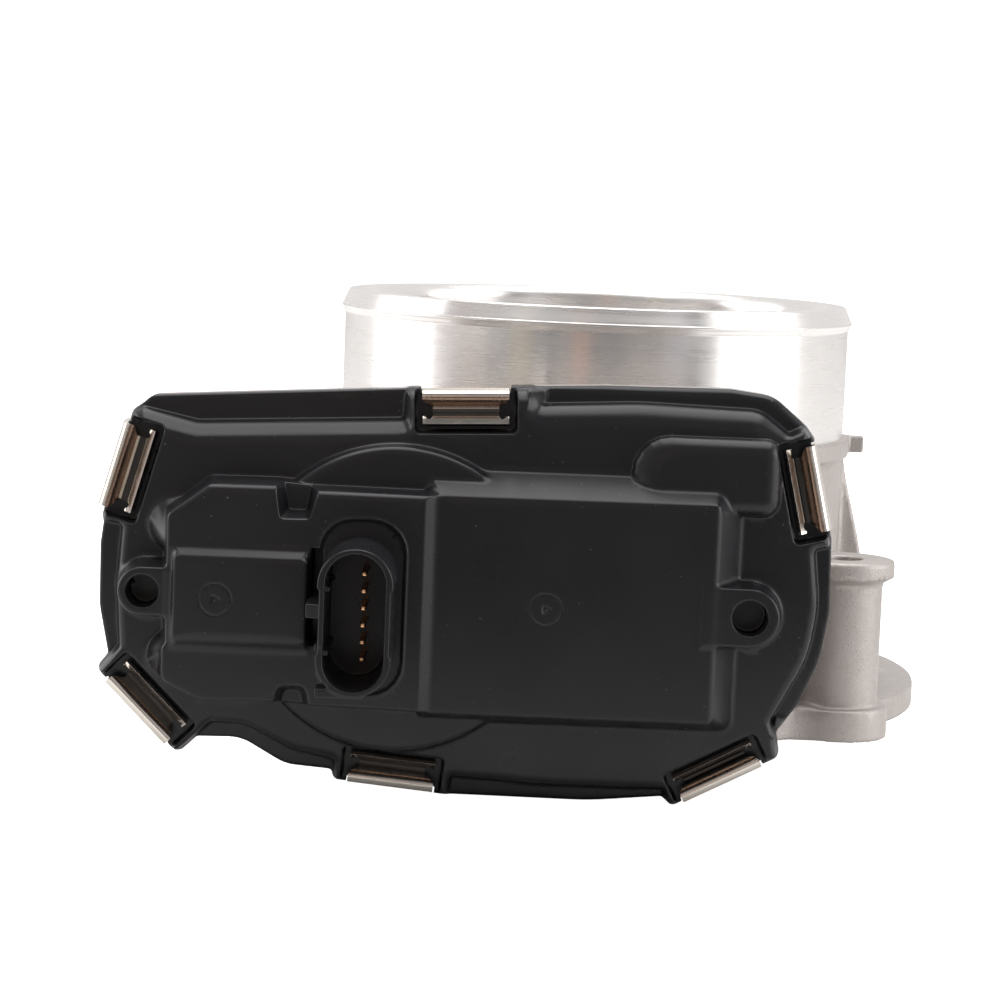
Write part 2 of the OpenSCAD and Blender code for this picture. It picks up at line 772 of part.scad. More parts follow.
module sensor_board() color("darkgreen")
    difference() {
        translate([-board_size[0] / 2, board_front, shaft_z - board_size[1] / 2])
            cube([board_size[0], board_back - board_front, board_size[1]]);
        for (sx = [-1, 1], sz = [-1, 1])
            rod(valve_axis + [sx * peg_at[0], sz * peg_at[1]], 1, board_front - 1, board_back + 1);
    }

module terminal(k)
    color("goldenrod") {
        z = terminal_mid_z + (k - 2.5) * terminal_pitch;
        translate([terminal_x - 0.5, terminal_tip + 1, z - 0.4])
            cube([1, cap_inner - terminal_tip - 1, 0.8]);
        translate([terminal_x, terminal_tip + 1, z])
            rotate([90, 0, 0])
                cylinder(r1 = 0.4, r2 = 0.15, h = 1);
    }

module terminal_1() terminal(5);
module terminal_2() terminal(4);
module terminal_3() terminal(3);
module terminal_4() terminal(2);
module terminal_5() terminal(1);
module terminal_6() terminal(0);

// ---------- cover ----------

module clip_pockets(wall, front, back) {
    for (i = [0:5])
        at_clip(i)
            translate([-clip_pocket_d - wall, front, -clip_pocket_w / 2 - wall])
                cube([clip_pocket_d + wall + 6, back - front, clip_pocket_w + 2 * wall]);
}

// Ear with a blind hole, joined to the box beside it
module ear(e, side_x, front) {
    rod([e[0], e[1]], e[3], front, cap_front);
    translate([min(e[0], side_x), front, e[1] - e[3]])
        cube([abs(side_x - e[0]), cap_front - front, 2 * e[3]]);
}

module cover_outside() {
    slab(rim_front, parting)
        polygon(rounded(rim_outline));
    difference() {
        union() {
            slab(cap_front, rim_front)
                polygon(rounded(cap_outline));
            rod([-35, 25.8], 27, disc_front, cap_front);
            slab(disc_front - 0.5, cap_front)
                polygon(rounded(bulge_outline));
        }
        clip_pockets(0, disc_front - 2, rim_front);
    }
    slab(box_front, cap_front)
        polygon(rounded(box_outline));
    slab(tall_front, cap_front)
        polygon(rounded(tall_outline));
    slab(pad_front, tall_front)
        polygon(rounded(pad_outline));
    ear(ear_left, -74, tall_front);
    ear(ear_right, 20, box_front);
}

module cover_hollows() {
    difference() {
        slab(cap_inner, parting + 1)
            polygon(rounded(chamber_outline));
        clip_pockets(cover_wall, cap_inner - 1, parting + 2);
        rod(gear_axis, 3.9, cap_inner - 1, cap_inner + 1.8);
    }
    // Inside of the sensor housing
    slab(box_inner, cap_inner + 1)
        polygon(round_rect([-4.6, 25.55], [45, 32.6], 1.5));
    // Inside of the tall housing, left of the connector recess
    slab(box_inner - 1, cap_inner + 1)
        polygon(round_rect([-61.4, 26], [21.4, 29], 1.5));
    rod(gear_axis, pin_r + running_gap, cap_inner, parting + 2);
    // Shallow recess round the connector
    slab(shroud_front - 1, recess_floor)
        polygon(round_rect(recess_mid, recess_size, recess_r));
    translate([latch_slot_at[0], shroud_front - 1, latch_slot_at[1]])
        cube([latch_slot_size[0], latch_slot_floor - shroud_front + 1, latch_slot_size[1]]);
    for (e = [ear_left, ear_right])
        rod([e[0], e[1]], e[2], pad_front - 1, ear_floor);
}

module connector_shroud() {
    slab(shroud_front, recess_floor + 1)
        polygon(round_rect(socket_mid, [socket_w, socket_h], socket_r));
    // Latch for the plug and the polarising rib
    translate([-49.6, latch_front, 24.2])
        cube([4, cap_front - latch_front - 0.2, 2.4]);
    translate([-47.8, rib_front, 19])
        cube([1.4, cap_front - rib_front, 1.1]);
}

module cover() color("#2b2b2d")
    difference() {
        union() {
            difference() {
                cover_outside();
                cover_hollows();
            }
            connector_shroud();
            for (sx = [-1, 1], sz = [-1, 1])
                rod(valve_axis + [sx * peg_at[0], sz * peg_at[1]], 1, box_inner, board_back - 0.4);
        }
        // Inside of the connector
        slab(shroud_front - 1, socket_floor)
            polygon(round_rect(socket_mid, [socket_w, socket_h] - 2 * socket_wall, socket_inner_r));
        clip_notches(parting + 1, rim_front - 1);
        for (k = [0:5])
            translate([terminal_x - 0.5, terminal_tip, terminal_mid_z + (k - 2.5) * terminal_pitch - 0.4])
                cube([1, cap_inner - terminal_tip + 1, 0.8]);
    }

module cover_seal() color("black")
    slab(parting, parting + 1.6)
        difference() {
            polygon(rounded(inset(chamber_outline, -2)));
            polygon(rounded(inset(chamber_outline, -0.8)));
        }

// ---------- clips ----------

function strip_normal(p, i) =
    let (n = len(p), a = p[max(i - 1, 0)], b = p[min(i + 1, n - 1)], d = unit(b - a)) [-d[1], d[0]];

module clip(i) color("#d9d2c5")
    at_clip(i)
        difference() {
            n = len(clip_path);
            translate([0, rim_front, -clip_len / 2])
                linear_extrude(clip_len)
                    polygon([for (p = concat(
                        [for (k = [0:n - 1]) clip_path[k] + clip_t / 2 * strip_normal(clip_path, k)],
                        [for (k = [n - 1:-1:0]) clip_path[k] - clip_t / 2 * strip_normal(clip_path, k)]))
                        [p[0], -p[1]]]);
            // The trough stops short of the strip's ends, which leaves small hooks on the lip
            for (s = [-1, 1])
                translate([clip_trough[0], rim_front - 2.4, s * clip_len / 2 - 1.6])
                    cube([clip_trough[1] - clip_trough[0], 4, 3.2]);
        }

module clip_top() clip(0);
module clip_upper_left() clip(1);
module clip_upper_right() clip(2);
module clip_lower_left() clip(3);
module clip_bottom() clip(4);
module clip_lower_right() clip(5);

throttle_housing();
end_plug();
stop_screw();
throttle_shaft();
throttle_plate();
plate_screws();
front_bearing_outer_race();
front_bearing_inner_race();
front_bearing_balls();
front_seal();
rear_bearing();
rear_seal();
sector_gear();
sensor_rotor();
return_spring();
intermediate_gear();
intermediate_pin();
motor_can();
motor_magnets();
motor_armature();
motor_shaft();
motor_pinion();
motor_end_cap();
motor_front_bush();
motor_rear_bush();
motor_wave_washer();
motor_screws();
motor_contacts();
lead_frame();
sensor_board();
cover();
cover_seal();
clip_top();
clip_upper_left();
clip_upper_right();
clip_lower_left();
clip_bottom();
clip_lower_right();
terminal_1();
terminal_2();
terminal_3();
terminal_4();
terminal_5();
terminal_6();
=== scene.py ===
import json
import math

import bmesh
import bpy
import numpy as np
import openvdb
from mathutils import Matrix, Vector


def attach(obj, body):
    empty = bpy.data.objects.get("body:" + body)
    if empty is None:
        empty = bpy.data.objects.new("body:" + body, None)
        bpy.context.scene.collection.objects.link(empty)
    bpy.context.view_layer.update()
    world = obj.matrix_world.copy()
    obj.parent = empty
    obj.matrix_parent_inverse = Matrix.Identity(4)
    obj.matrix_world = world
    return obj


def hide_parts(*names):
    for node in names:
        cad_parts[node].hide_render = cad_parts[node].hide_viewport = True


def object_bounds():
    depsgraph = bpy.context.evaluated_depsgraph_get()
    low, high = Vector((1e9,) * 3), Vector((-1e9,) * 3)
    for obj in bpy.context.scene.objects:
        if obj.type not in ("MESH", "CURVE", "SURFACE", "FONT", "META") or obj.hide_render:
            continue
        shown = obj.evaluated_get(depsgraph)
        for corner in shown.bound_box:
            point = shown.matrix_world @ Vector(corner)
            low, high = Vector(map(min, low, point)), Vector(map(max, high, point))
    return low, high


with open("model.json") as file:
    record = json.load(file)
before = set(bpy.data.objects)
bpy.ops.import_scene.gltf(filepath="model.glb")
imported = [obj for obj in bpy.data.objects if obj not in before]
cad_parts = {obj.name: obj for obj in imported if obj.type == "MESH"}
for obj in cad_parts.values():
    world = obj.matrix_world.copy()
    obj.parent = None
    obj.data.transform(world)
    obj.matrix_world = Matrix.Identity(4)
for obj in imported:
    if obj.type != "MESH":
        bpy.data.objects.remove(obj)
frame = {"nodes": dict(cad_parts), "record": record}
CAD_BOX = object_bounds()
MM = 0.001
# A hair inside the CAD model's box, which the field meshes are clipped to. Nothing may
# stick out of the CAD model's box
BOX_LOW, BOX_HIGH = (np.array(corner) / MM + inwards for corner, inwards in zip(CAD_BOX, (0.01, -0.01)))

# Depth planes of the cover, in millimetres forward of the bore's axis
PARTING, RIM, CAP, DISC, BULGE, BOX, TALL, PAD, MOUTH = 67, 69.5, 73.5, 76, 76.4, 79.5, 81, 82.8, 97
WALL = 2.2
# Sine of 45 degrees
DIAGONAL = 0.7071


# ---------- outlines: lists of [x, z, corner radius] in millimetres, clockwise ----------

RIM_OUTLINE = [
    [-78.6, 59.2, 3], [-30, 62.4, 60], [0, 63.8, 60], [22, 64.1, 12], [29.4, 63.2, 7],
    [34.6, 58.8, 4], [36.6, 55.9, 1.5], [40.6, 38.5, 2], [41, 26, 12], [39.6, 17, 20],
    [36.2, 9.2, 15], [32.4, 3.9, 2], [33.2, -0.2, 1.5], [14.8, -9.7, 1], [13.2, -8.1, 1],
    [0, -9.4, 60], [-26, -9.2, 20], [-44.8, -7.2, 1], [-45.4, -5.6, 0.8], [-53.5, -5, 8],
    [-61.5, -0.5, 8], [-69.6, -0.7, 1.5], [-72.6, -3.7, 1.5], [-87, 10.7, 1.2],
    [-85.1, 13.2, 2], [-86.9, 22, 12], [-87, 33, 10], [-86.2, 39.6, 2], [-81.7, 56.3, 1.5]]
CAP_OUTLINE = [
    [-79.9, 56.9, 1], [-70.4, 54.9, 2], [-34.6, 56.7, 0.8], [-34.3, 61.7, 0.6], [-12.6, 62.7, 0.6],
    [-11, 60.1, 0.8], [6, 61, 60], [26.8, 60.5, 5], [32, 56.6, 1], [34.6, 57.9, 0.6],
    [36.2, 55.8, 1], [39.9, 38.6, 0.8], [40, 37.6, 0.5], [37.4, 36.9, 0.8], [38.5, 27, 20],
    [37.2, 18.2, 20], [31.2, 6.6, 0.8], [32, 4.4, 0.8], [32.7, 0.1, 0.8], [14.9, -9.1, 0.5],
    [13.5, -7.9, 0.5], [13.2, -6.2, 0.6], [-8, -6.3, 40], [-24.3, -5.5, 0.6], [-24.7, -8.8, 0.4],
    [-44.4, -6.9, 0.5], [-44.9, -3.2, 0.8], [-52.2, -1.7, 8], [-60.6, 2.5, 8],
    [-66.6, 2.6, 2], [-72.5, -3.1, 0.6], [-86.4, 10.8, 0.5], [-82.9, 15.3, 1], [-83.6, 26, 20],
    [-82.9, 36.8, 1], [-86.4, 37.3, 0.4], [-85.8, 39.8, 1], [-81.5, 56, 1]]
CHAMBER_OUTLINE = [
    [-76, 51.5, 6], [-30, 54.5, 60], [0, 57.6, 60], [28.6, 57.4, 9], [34.4, 38, 12],
    [34.4, 25, 20], [28.5, 7, 14], [12, -2.6, 14], [-30, -2.6, 12], [-51, 2, 10],
    [-58, 6, 8], [-71, 7, 8], [-80.4, 17, 10], [-80.8, 35, 12]]
BOX_TOP = [[-31, 44.5, 0.5], [20.1, 44.7, 0.6], [20.1, 6.9, 0.6], [-31, 6.9, 0.5]]
BOX_FOOT = [
    [-31, 48.8, 0.5], [20.6, 48.8, 3.5], [24.6, 44.4, 2.5], [24.4, 4.7, 2.2], [-31, 4.7, 0.5]]
TALL_TOP = [
    [-67.2, 45.1, 2], [-55.7, 45.2, 8], [-48.6, 44.6, 8], [-27.9, 44.5, 0.6], [-27.9, 7.2, 0.6],
    [-48.7, 7.6, 8], [-55.4, 8, 8], [-68, 7.9, 3], [-74.6, 11.1, 2], [-74.6, 16.6, 1],
    [-74, 17.6, 1], [-74.2, 39.8, 1.5]]
TALL_FOOT = [
    [-67.4, 46, 2], [-55.7, 46.1, 8], [-48.6, 45.6, 8], [-27.7, 45.4, 0.6], [-27.7, 6.6, 0.6],
    [-48.7, 6.9, 8], [-55.4, 7.3, 8], [-68.3, 7, 3], [-75.4, 10.7, 2], [-75.4, 16.7, 1.4],
    [-74.8, 17.8, 1], [-75, 40, 1.5]]
# Notches in the tall part's edges, with sloped walls: outline at the top, outline at the floor, floor's plane
NOTCHES = [
    [[[-56.2, 47.5, 0.3], [-55, 39.7, 0.8], [-50.05, 39.8, 0.8], [-47.5, 47.5, 0.3]],
     [[-54.9, 47.5, 0.3], [-53.9, 41, 0.8], [-50.4, 41, 0.8], [-49.6, 47.5, 0.3]], 76.6],
    [[[-48.4, 5, 0.3], [-49.7, 11, 1.6], [-54.5, 10.9, 1.6], [-55.9, 5, 0.3]],
     [[-49.9, 5, 0.3], [-50.7, 9.8, 1.2], [-53.5, 9.8, 1.2], [-54.6, 5, 0.3]], 77.2]]
PAD_TOP = [[-72.7, 32.8, 0.6], [-49.8, 32.8, 0.6], [-49.8, 18.7, 0.6], [-72.7, 18.7, 0.6]]
PAD_FOOT = [[-73.2, 34.7, 0.6], [-49.6, 34.7, 0.6], [-49.6, 16.9, 0.6], [-73.2, 16.9, 0.6]]
BULGE_OUTLINE = [[5, 56.1, 6.6], [30.9, 56, 3], [30.9, 42.4, 3], [5, 42.4, 6.6]]
RECESS_MID, RECESS_SIZE, RECESS_R, RECESS_FLOOR = (-40.6, 25), (14.2, 29.8), 5.5, 80.85
# Slot beside the connector, under its latch: middle, size and floor
SLOT_MID, SLOT_SIZE, SLOT_FLOOR = (-48.45, 26.5), (1.9, 16.6), 73.4
SOCKET_MID, SOCKET_SIZE, SOCKET_R, SOCKET_FLOOR = (-41, 24.55), (12.7, 24.9), 6.2, 80
SOCKET_BORE, SOCKET_BORE_R = (10.1, 23.2), 5
# Ears: [x, z, hole radius, ear radius, front plane, x of the side that it joins]
EARS = [[-78.2, 26.3, 2.8, 4.2, TALL, -72], [26.2, 25.5, 3.05, 5.1, BOX, 18]]
EAR_FLOOR = 74.3
# Axes that run along y: valve shaft, intermediate gear and motor are all at this height
SHAFT_Z, GEAR_X, MOTOR_X, MOTOR_SCREW_REACH = 26, -35, -65, 16.5
# Round relief over the intermediate gear
DISC_Z, DISC_R = 25.8, 27
# Block behind the connector that holds the terminals
CARRIER_SIZE, CARRIER_BACK = (20, 32), 71.3
# Clips: [name, x, z, direction of the outward normal in degrees,
# how far in its lip reaches, which of CLIP_BANDS it has]
CLIPS = [
    ["clip_top", -24.2, 62.75, 92.2, 6.9, 0], ["clip_upper_left", -85.4, 47.4, 164.4, 6.6, 0],
    ["clip_upper_right", 38.7, 48, 13, 6.1, 0], ["clip_lower_left", -80.15, 3.25, 225, 6.2, 1],
    ["clip_bottom", -34.9, -8.15, 264.9, 5.9, 1], ["clip_lower_right", 23.6, -5.35, -62.4, 5.6, 1]]
POCKET_W = 17.4
# Shallow notches in the rims, a little wider than the clips
NOTCH_HALF, NOTCH_DEPTH = 7.8, 0.9
TERMINAL_X, TERMINAL_Z, TERMINAL_PITCH = -39.9, 24.5, 2.92


def rounded(outline, steps=5):
    """The outline with its corners rounded, as an array of points."""
    points = []
    for i, (x, z, r) in enumerate(outline):
        p, q, s = (np.array(outline[j % len(outline)][:2], float) for j in (i - 1, i, i + 1))
        a, b = (p - q) / np.linalg.norm(p - q), (s - q) / np.linalg.norm(s - q)
        half = math.acos(np.clip(a @ b, -1, 1)) / 2
        centre = q + (a + b) / np.linalg.norm(a + b) * r / math.sin(half)
        start, end = q + a * r / math.tan(half) - centre, q + b * r / math.tan(half) - centre
        a0 = math.atan2(start[1], start[0])
        sweep = (math.atan2(end[1], end[0]) - a0 + math.pi) % (2 * math.pi) - math.pi
        for k in range(steps + 1):
            t = a0 + sweep * k / steps
            points.append(centre + r * np.array([math.cos(t), math.sin(t)]))
    return np.array(points)


def round_rect(mid, size, r):
    """The outline of a rectangle with its corners' radius."""
    x, z = size[0] / 2, size[1] / 2
    return [[mid[0] + i * x, mid[1] + j * z, r] for i, j in ((-1, 1), (1, 1), (1, -1), (-1, -1))]


# ---------- signed distance fields, in millimetres, negative inside ----------


def join(a, b, r):
    """Union with a fillet of radius r."""
    return np.maximum(r, np.minimum(a, b)) - np.hypot(np.maximum(r - a, 0), np.maximum(r - b, 0))


def meet(a, b, r):
    """Intersection with its edge rounded to radius r."""
    return np.minimum(-r, np.maximum(a, b)) + np.hypot(np.maximum(r + a, 0), np.maximum(r + b, 0))


class Field:
    """A regular grid of signed distance, with x, y and z as arrays that broadcast over it.

    Where forward is True, y is forward, which is -Y of the frame."""

    def __init__(self, low, high, step, forward):
        self.low, self.step, self.forward = np.array(low, float), step, forward
        n = [int(math.ceil((b - a) / step)) + 1 for a, b in zip(low, high)]
        axes = [(a + step * np.arange(k)).astype(np.float32) for a, k in zip(low, n)]
        self.x, self.y, self.z = axes[0][:, None, None], axes[1][None, :, None], axes[2][None, None, :]
        self.d = np.full(n, 1e3, np.float32)

    def near(self, x, z, reach):
        """The part of the grid within reach of x, z: (index, x, z)."""
        i = [int(max(0, (c - reach - self.low[a]) / self.step)) for a, c in ((0, x), (2, z))]
        j = [int((c + reach - self.low[a]) / self.step) + 2 for a, c in ((0, x), (2, z))]
        at = (slice(i[0], j[0]), slice(None), slice(i[1], j[1]))
        return at, self.x[i[0]:j[0]], self.z[:, :, i[1]:j[1]]

    def outline(self, outline, steps=5):
        """Distance to an outline in x, z, one value for every y."""
        points = rounded(outline, steps).astype(np.float32)
        x, z = self.x[:, 0], self.z[0]
        shape = (x.shape[0], z.shape[1])
        best, inside = np.full(shape, 1e9, np.float32), np.zeros(shape, bool)
        for (ax, az), (bx, bz) in zip(points, np.roll(points, -1, 0)):
            ex, ez = bx - ax, bz - az
            t = np.clip(((x - ax) * ex + (z - az) * ez) / (ex * ex + ez * ez + 1e-12), 0, 1)
            best = np.minimum(best, (x - ax - ex * t) ** 2 + (z - az - ez * t) ** 2)
            if az != bz:
                inside ^= ((az > z) != (bz > z)) & (x < ax + (z - az) * ex / ez)
        return (np.sqrt(best) * np.where(inside, -1, 1)).astype(np.float32)[:, None, :]

    def sample(self, p):
        """Field at points given in grid steps."""
        i = np.clip(np.floor(p).astype(int), 0, np.array(self.d.shape) - 2)
        f = (p - i).astype(np.float32)
        total = 0
        for k in range(8):
            o = np.array([k >> 2 & 1, k >> 1 & 1, k & 1])
            w = np.prod(np.where(o, f, 1 - f), axis=1)
            total = total + w * self.d[tuple((i + o).T)]
        return total

    def mesh(self, name, adaptivity):
        """The zero surface as a mesh object, with normals from the field itself."""
        reach = 3 * self.step
        grid = openvdb.FloatGrid(reach)
        grid.copyFromArray(np.ascontiguousarray(np.clip(self.d, -reach, reach)))
        points, triangles, quads = grid.convertToPolygons(0.0, adaptivity)
        p = np.array(points, float)
        normals = None
        for _ in range(2):
            normals = np.stack([
                self.sample(p + 0.5 * e) - self.sample(p - 0.5 * e) for e in np.eye(3)], 1)
            length = np.linalg.norm(normals, axis=1, keepdims=True)
            normals = normals / np.maximum(length, 1e-6)
            p = p - normals * np.clip(self.sample(p) / self.step, -0.4, 0.4)[:, None]
        p = p * self.step + self.low
        if self.forward:
            p[:, 1] *= -1
            normals[:, 1] *= -1
        p = np.clip(p, BOX_LOW, BOX_HIGH)
        faces = [tuple(f) for f in triangles] + [tuple(f) for f in quads]
        a = np.array([f[:3] for f in faces])
        facing = np.cross(p[a[:, 1]] - p[a[:, 0]], p[a[:, 2]] - p[a[:, 0]])
        if np.einsum("ij,ij->i", facing, normals[a[:, 0]]).sum() < 0:
            faces = [f[::-1] for f in faces]
        me = bpy.data.meshes.new(name)
        me.from_pydata((p * MM).tolist(), [], faces)
        me.validate()
        me.shade_smooth()
        me.normals_split_custom_set_from_vertices(normals.tolist())
        return add(name, me)


def add(name, me):
    o = bpy.data.objects.new(name, me)
    bpy.context.scene.collection.objects.link(o)
    return o


def solid(name, verts, faces, sharp):
    """A closed mesh object from points in metres, shaded smooth up to an angle in degrees."""
    me = bpy.data.meshes.new(name)
    me.from_pydata(verts, [], faces)
    me.validate()
    bm = bmesh.new()
    bm.from_mesh(me)
    bmesh.ops.recalc_face_normals(bm, faces=bm.faces)
    bm.to_mesh(me)
    bm.free()
    me.shade_smooth()
    me.set_sharp_from_angle(angle=math.radians(sharp))
    return add(name, me)


def tapered(field, top, foot, y_top, y_foot):
    """Distance to a wall that slopes from one outline at the top to another at the foot."""
    d_top, d_foot = field.outline(top), field.outline(foot)
    t = (y_top - field.y) / (y_top - y_foot)
    return (d_top + (d_foot - d_top) * t) / np.hypot(1, np.abs(d_top - d_foot) / (y_top - y_foot))


def plateau(field, top, foot, y_top, y_foot, r):
    """A raised block with sloped walls and its top edge rounded."""
    return meet(tapered(field, top, foot, y_top, y_foot), field.y - y_top, r)


def rod_y(field, x, z, r, front, back, edge=0):
    """A cylinder along y between two planes."""
    return meet(np.hypot(field.x - x, field.z - z) - r, np.maximum(field.y - front, back - field.y), edge)


# ---------- the cover ----------


def clip_frame(x, z, angle, px, pz):
    """(outwards, along) coordinates of points in a clip's own frame."""
    c, s = math.cos(math.radians(angle)), math.sin(math.radians(angle))
    return (px - x) * c + (pz - z) * s, -(px - x) * s + (pz - z) * c


def smooth_step(v, low, high):
    """0 up to low, 1 from high on and an S-shaped curve between them."""
    t = np.clip((v - low) / (high - low), 0, 1)
    return t * t * (3 - 2 * t)


def cover_field(step):
    """The cover's shell: rim, cap, raised housings, ears and clip pockets, hollow inside."""
    f = Field((-89, 65.6, -12), (43.5, 84.2, 66.5), step, True)
    rim, cap = f.outline(RIM_OUTLINE), f.outline(CAP_OUTLINE)
    y = f.y
    edge = 0.6 + 0.8 * smooth_step(f.x, -20, 10) * smooth_step(f.z, 40, 60)
    f.d = meet(rim, y - RIM, edge)
    # The cap's top edge is softest along the top right, and has a broad bevel along the top left
    left = smooth_step(-f.x, 28, 34)
    top_right = smooth_step(f.z, 46, 52) * smooth_step(-f.x, -34, -26) * (1 - left)
    edge = 1.1 + 2.3 * top_right + 0.3 * smooth_step(-f.z, -2, 4)
    lean = 0.18 * (CAP - y)
    block = meet((cap - lean + 0.4) * 0.985, y - CAP, edge)
    elsewhere = 1 - smooth_step(f.z, 47, 50) * left
    bevel = (cap + y - CAP + 2.7 + 4 * elsewhere) * DIAGONAL - 6 * elsewhere
    f.d = join(f.d, meet(block, bevel, 0.7), 0.4)
    # Sloped end walls beside the top and lower right clips
    for x0, z0, x1, z1, half in ((-13.4, 61.2, -10.2, 60.9, 1.7), (32.5, 3.6, 33.4, 7, 1.1)):
        ux, uz = x1 - x0, z1 - z0
        size = math.hypot(ux, uz)
        along = ((f.x - x0) * ux + (f.z - z0) * uz) / size
        across = np.abs(-(f.x - x0) * uz + (f.z - z0) * ux) / size - half
        ramp = (y - (CAP - 0.3 - 3.7 * np.clip(along / size, 0, 1))) * 0.66
        ends = np.maximum(rim + 0.5, np.abs(along - size / 2) - size / 2)
        f.d = join(f.d, np.maximum(np.maximum(ramp, across), ends), 0.5)
    # Round relief of the intermediate gear, and the relief over the right of the chamber
    disc = np.hypot(f.x - GEAR_X, f.z - DISC_Z) - DISC_R
    f.d = join(f.d, meet(disc + 0.25 * (y - CAP), y - DISC, 0.9), 0.5)
    bulge = f.outline(BULGE_OUTLINE)
    # It's a pillow that is steepest at its outline
    inset = np.clip(-bulge / (3 + 2.6 * smooth_step(-f.x, -16, -6)), 0, 1)
    top = CAP - 0.1 + (BULGE - CAP + 0.1) * np.sqrt(1 - (1 - inset) ** 2)
    f.d = join(f.d, np.maximum((y - top) * 0.6, bulge), 0.25)
    # Sensor housing, taller motor connection housing and its pad
    f.d = join(f.d, plateau(f, BOX_TOP, BOX_FOOT, BOX, CAP, 0.45), 0.45)
    tall = plateau(f, TALL_TOP, TALL_FOOT, TALL, CAP, 0.5 + 0.6 * smooth_step(f.z, 38, 44))
    # A slope leads from the tall part down to the sensor housing
    tall = meet(tall, (1.5 * (f.x + 30.3) + 2.1 * (y - TALL)) / 2.58, 0.12)
    for top, foot, floor in NOTCHES:
        tall = meet(tall, -np.maximum(tapered(f, top, foot, TALL, floor), floor - y), 0.3)
    f.d = join(f.d, tall, 0.35)
    f.d = join(f.d, plateau(f, PAD_TOP, PAD_FOOT, PAD, TALL - 0.1, 0.4), 0.6)
    for x, z, _, r, front, side in EARS:
        at, px, pz = f.near(x, z, 12)
        round_end = np.hypot(px - x, pz - z) - r
        arm = np.maximum(np.abs(pz - z) - r, np.maximum(min(x, side) - px, px - max(x, side)))
        body = meet(np.minimum(round_end, arm) - 0.1 * (front - y), y - front, 0.5)
        f.d[at] = join(f.d[at], body, 0.9)
    # Pockets that the clips sit in, down to the rim, with ears beside them
    for _, x, z, angle, depth, _ in CLIPS:
        at, px, pz = f.near(x, z, 16)
        out, along = clip_frame(x, z, angle, px, pz)
        pocket = meet(np.abs(along) - POCKET_W / 2, np.maximum(-out - depth - 0.7, out - 12), 0.8)
        f.d[at] = meet(f.d[at], -meet(pocket - 0.06 * (y - RIM), RIM - y, 0.3), 0.35)
        notch = np.maximum(np.abs(along) - NOTCH_HALF, -NOTCH_DEPTH - out)
        f.d[at] = np.maximum(f.d[at], -notch + 0 * y)
    for x, z, r, *_ in EARS:
        at, px, pz = f.near(x, z, 8)
        f.d[at] = meet(f.d[at], -np.maximum(np.hypot(px - x, pz - z) - r, EAR_FLOOR - y), 0.3)
    # Shallow recess round the connector, with a fine raised line round it, and the slot under the latch
    recess = f.outline(round_rect(RECESS_MID, RECESS_SIZE, RECESS_R))
    at, px, pz = f.near(RECESS_MID[0], RECESS_MID[1], 22)
    near = recess[at[0], :, at[2]]
    line = np.hypot(near - 0.4, y - TALL + 0.02) - 0.27
    f.d[at] = join(f.d[at], np.maximum(line, np.maximum(px + 31, -47.9 - px)), 0.12)
    f.d[at] = meet(f.d[at], -np.maximum(near, RECESS_FLOOR - y), 0.1)
    slot = meet(np.abs(px - SLOT_MID[0]) - SLOT_SIZE[0] / 2, np.abs(pz - SLOT_MID[1]) - SLOT_SIZE[1] / 2, 0.4)
    f.d[at] = meet(f.d[at], -np.maximum(slot, SLOT_FLOOR - y), 0.3)
    # The connector's inside goes a little deeper, and the shroud has its own floor there
    socket = f.outline(round_rect(SOCKET_MID, SOCKET_BORE, SOCKET_BORE_R))
    f.d = np.maximum(f.d, -np.maximum(socket, SOCKET_FLOOR - 0.5 - y))
    # Ejector marks: a fine ring and a small punched dot
    for x, z, plane in ((-8.9, 25.6, BOX), (-65.5, 25.6, PAD)):
        at, px, pz = f.near(x, z, 5)
        r = np.hypot(px - x, pz - z)
        ring = np.hypot(r - 2.75, y - plane) - 0.14
        dot = np.hypot(r - 0.45 - 0.12 * np.cos(3 * np.arctan2(pz - z, px - x)), y - plane) - 0.28
        f.d[at] = np.maximum(f.d[at], -np.minimum(ring, dot))
    # Hollow inside: an even wall, open towards the housing
    outside = f.d.copy()
    chamber = f.outline(CHAMBER_OUTLINE)
    hollow = np.maximum(outside + WALL, chamber)
    hollow = np.minimum(hollow, np.maximum(chamber, y - RIM + 0.6))
    hollow = np.maximum(hollow, -rod_y(f, GEAR_X, SHAFT_Z, 3.9, 90, RIM))
    # Solid carrier behind the connector, which holds the terminals
    carrier = f.outline(round_rect(RECESS_MID, CARRIER_SIZE, 3))
    hollow = np.maximum(hollow, -np.maximum(carrier, CARRIER_BACK - y))
    f.d = np.maximum(f.d, -hollow)
    # Blind hole for the gear's pin
    f.d = np.maximum(f.d, -rod_y(f, GEAR_X, SHAFT_Z, 2.6, 71.4, 60))
    f.d = np.maximum(f.d, PARTING - y)
    return f


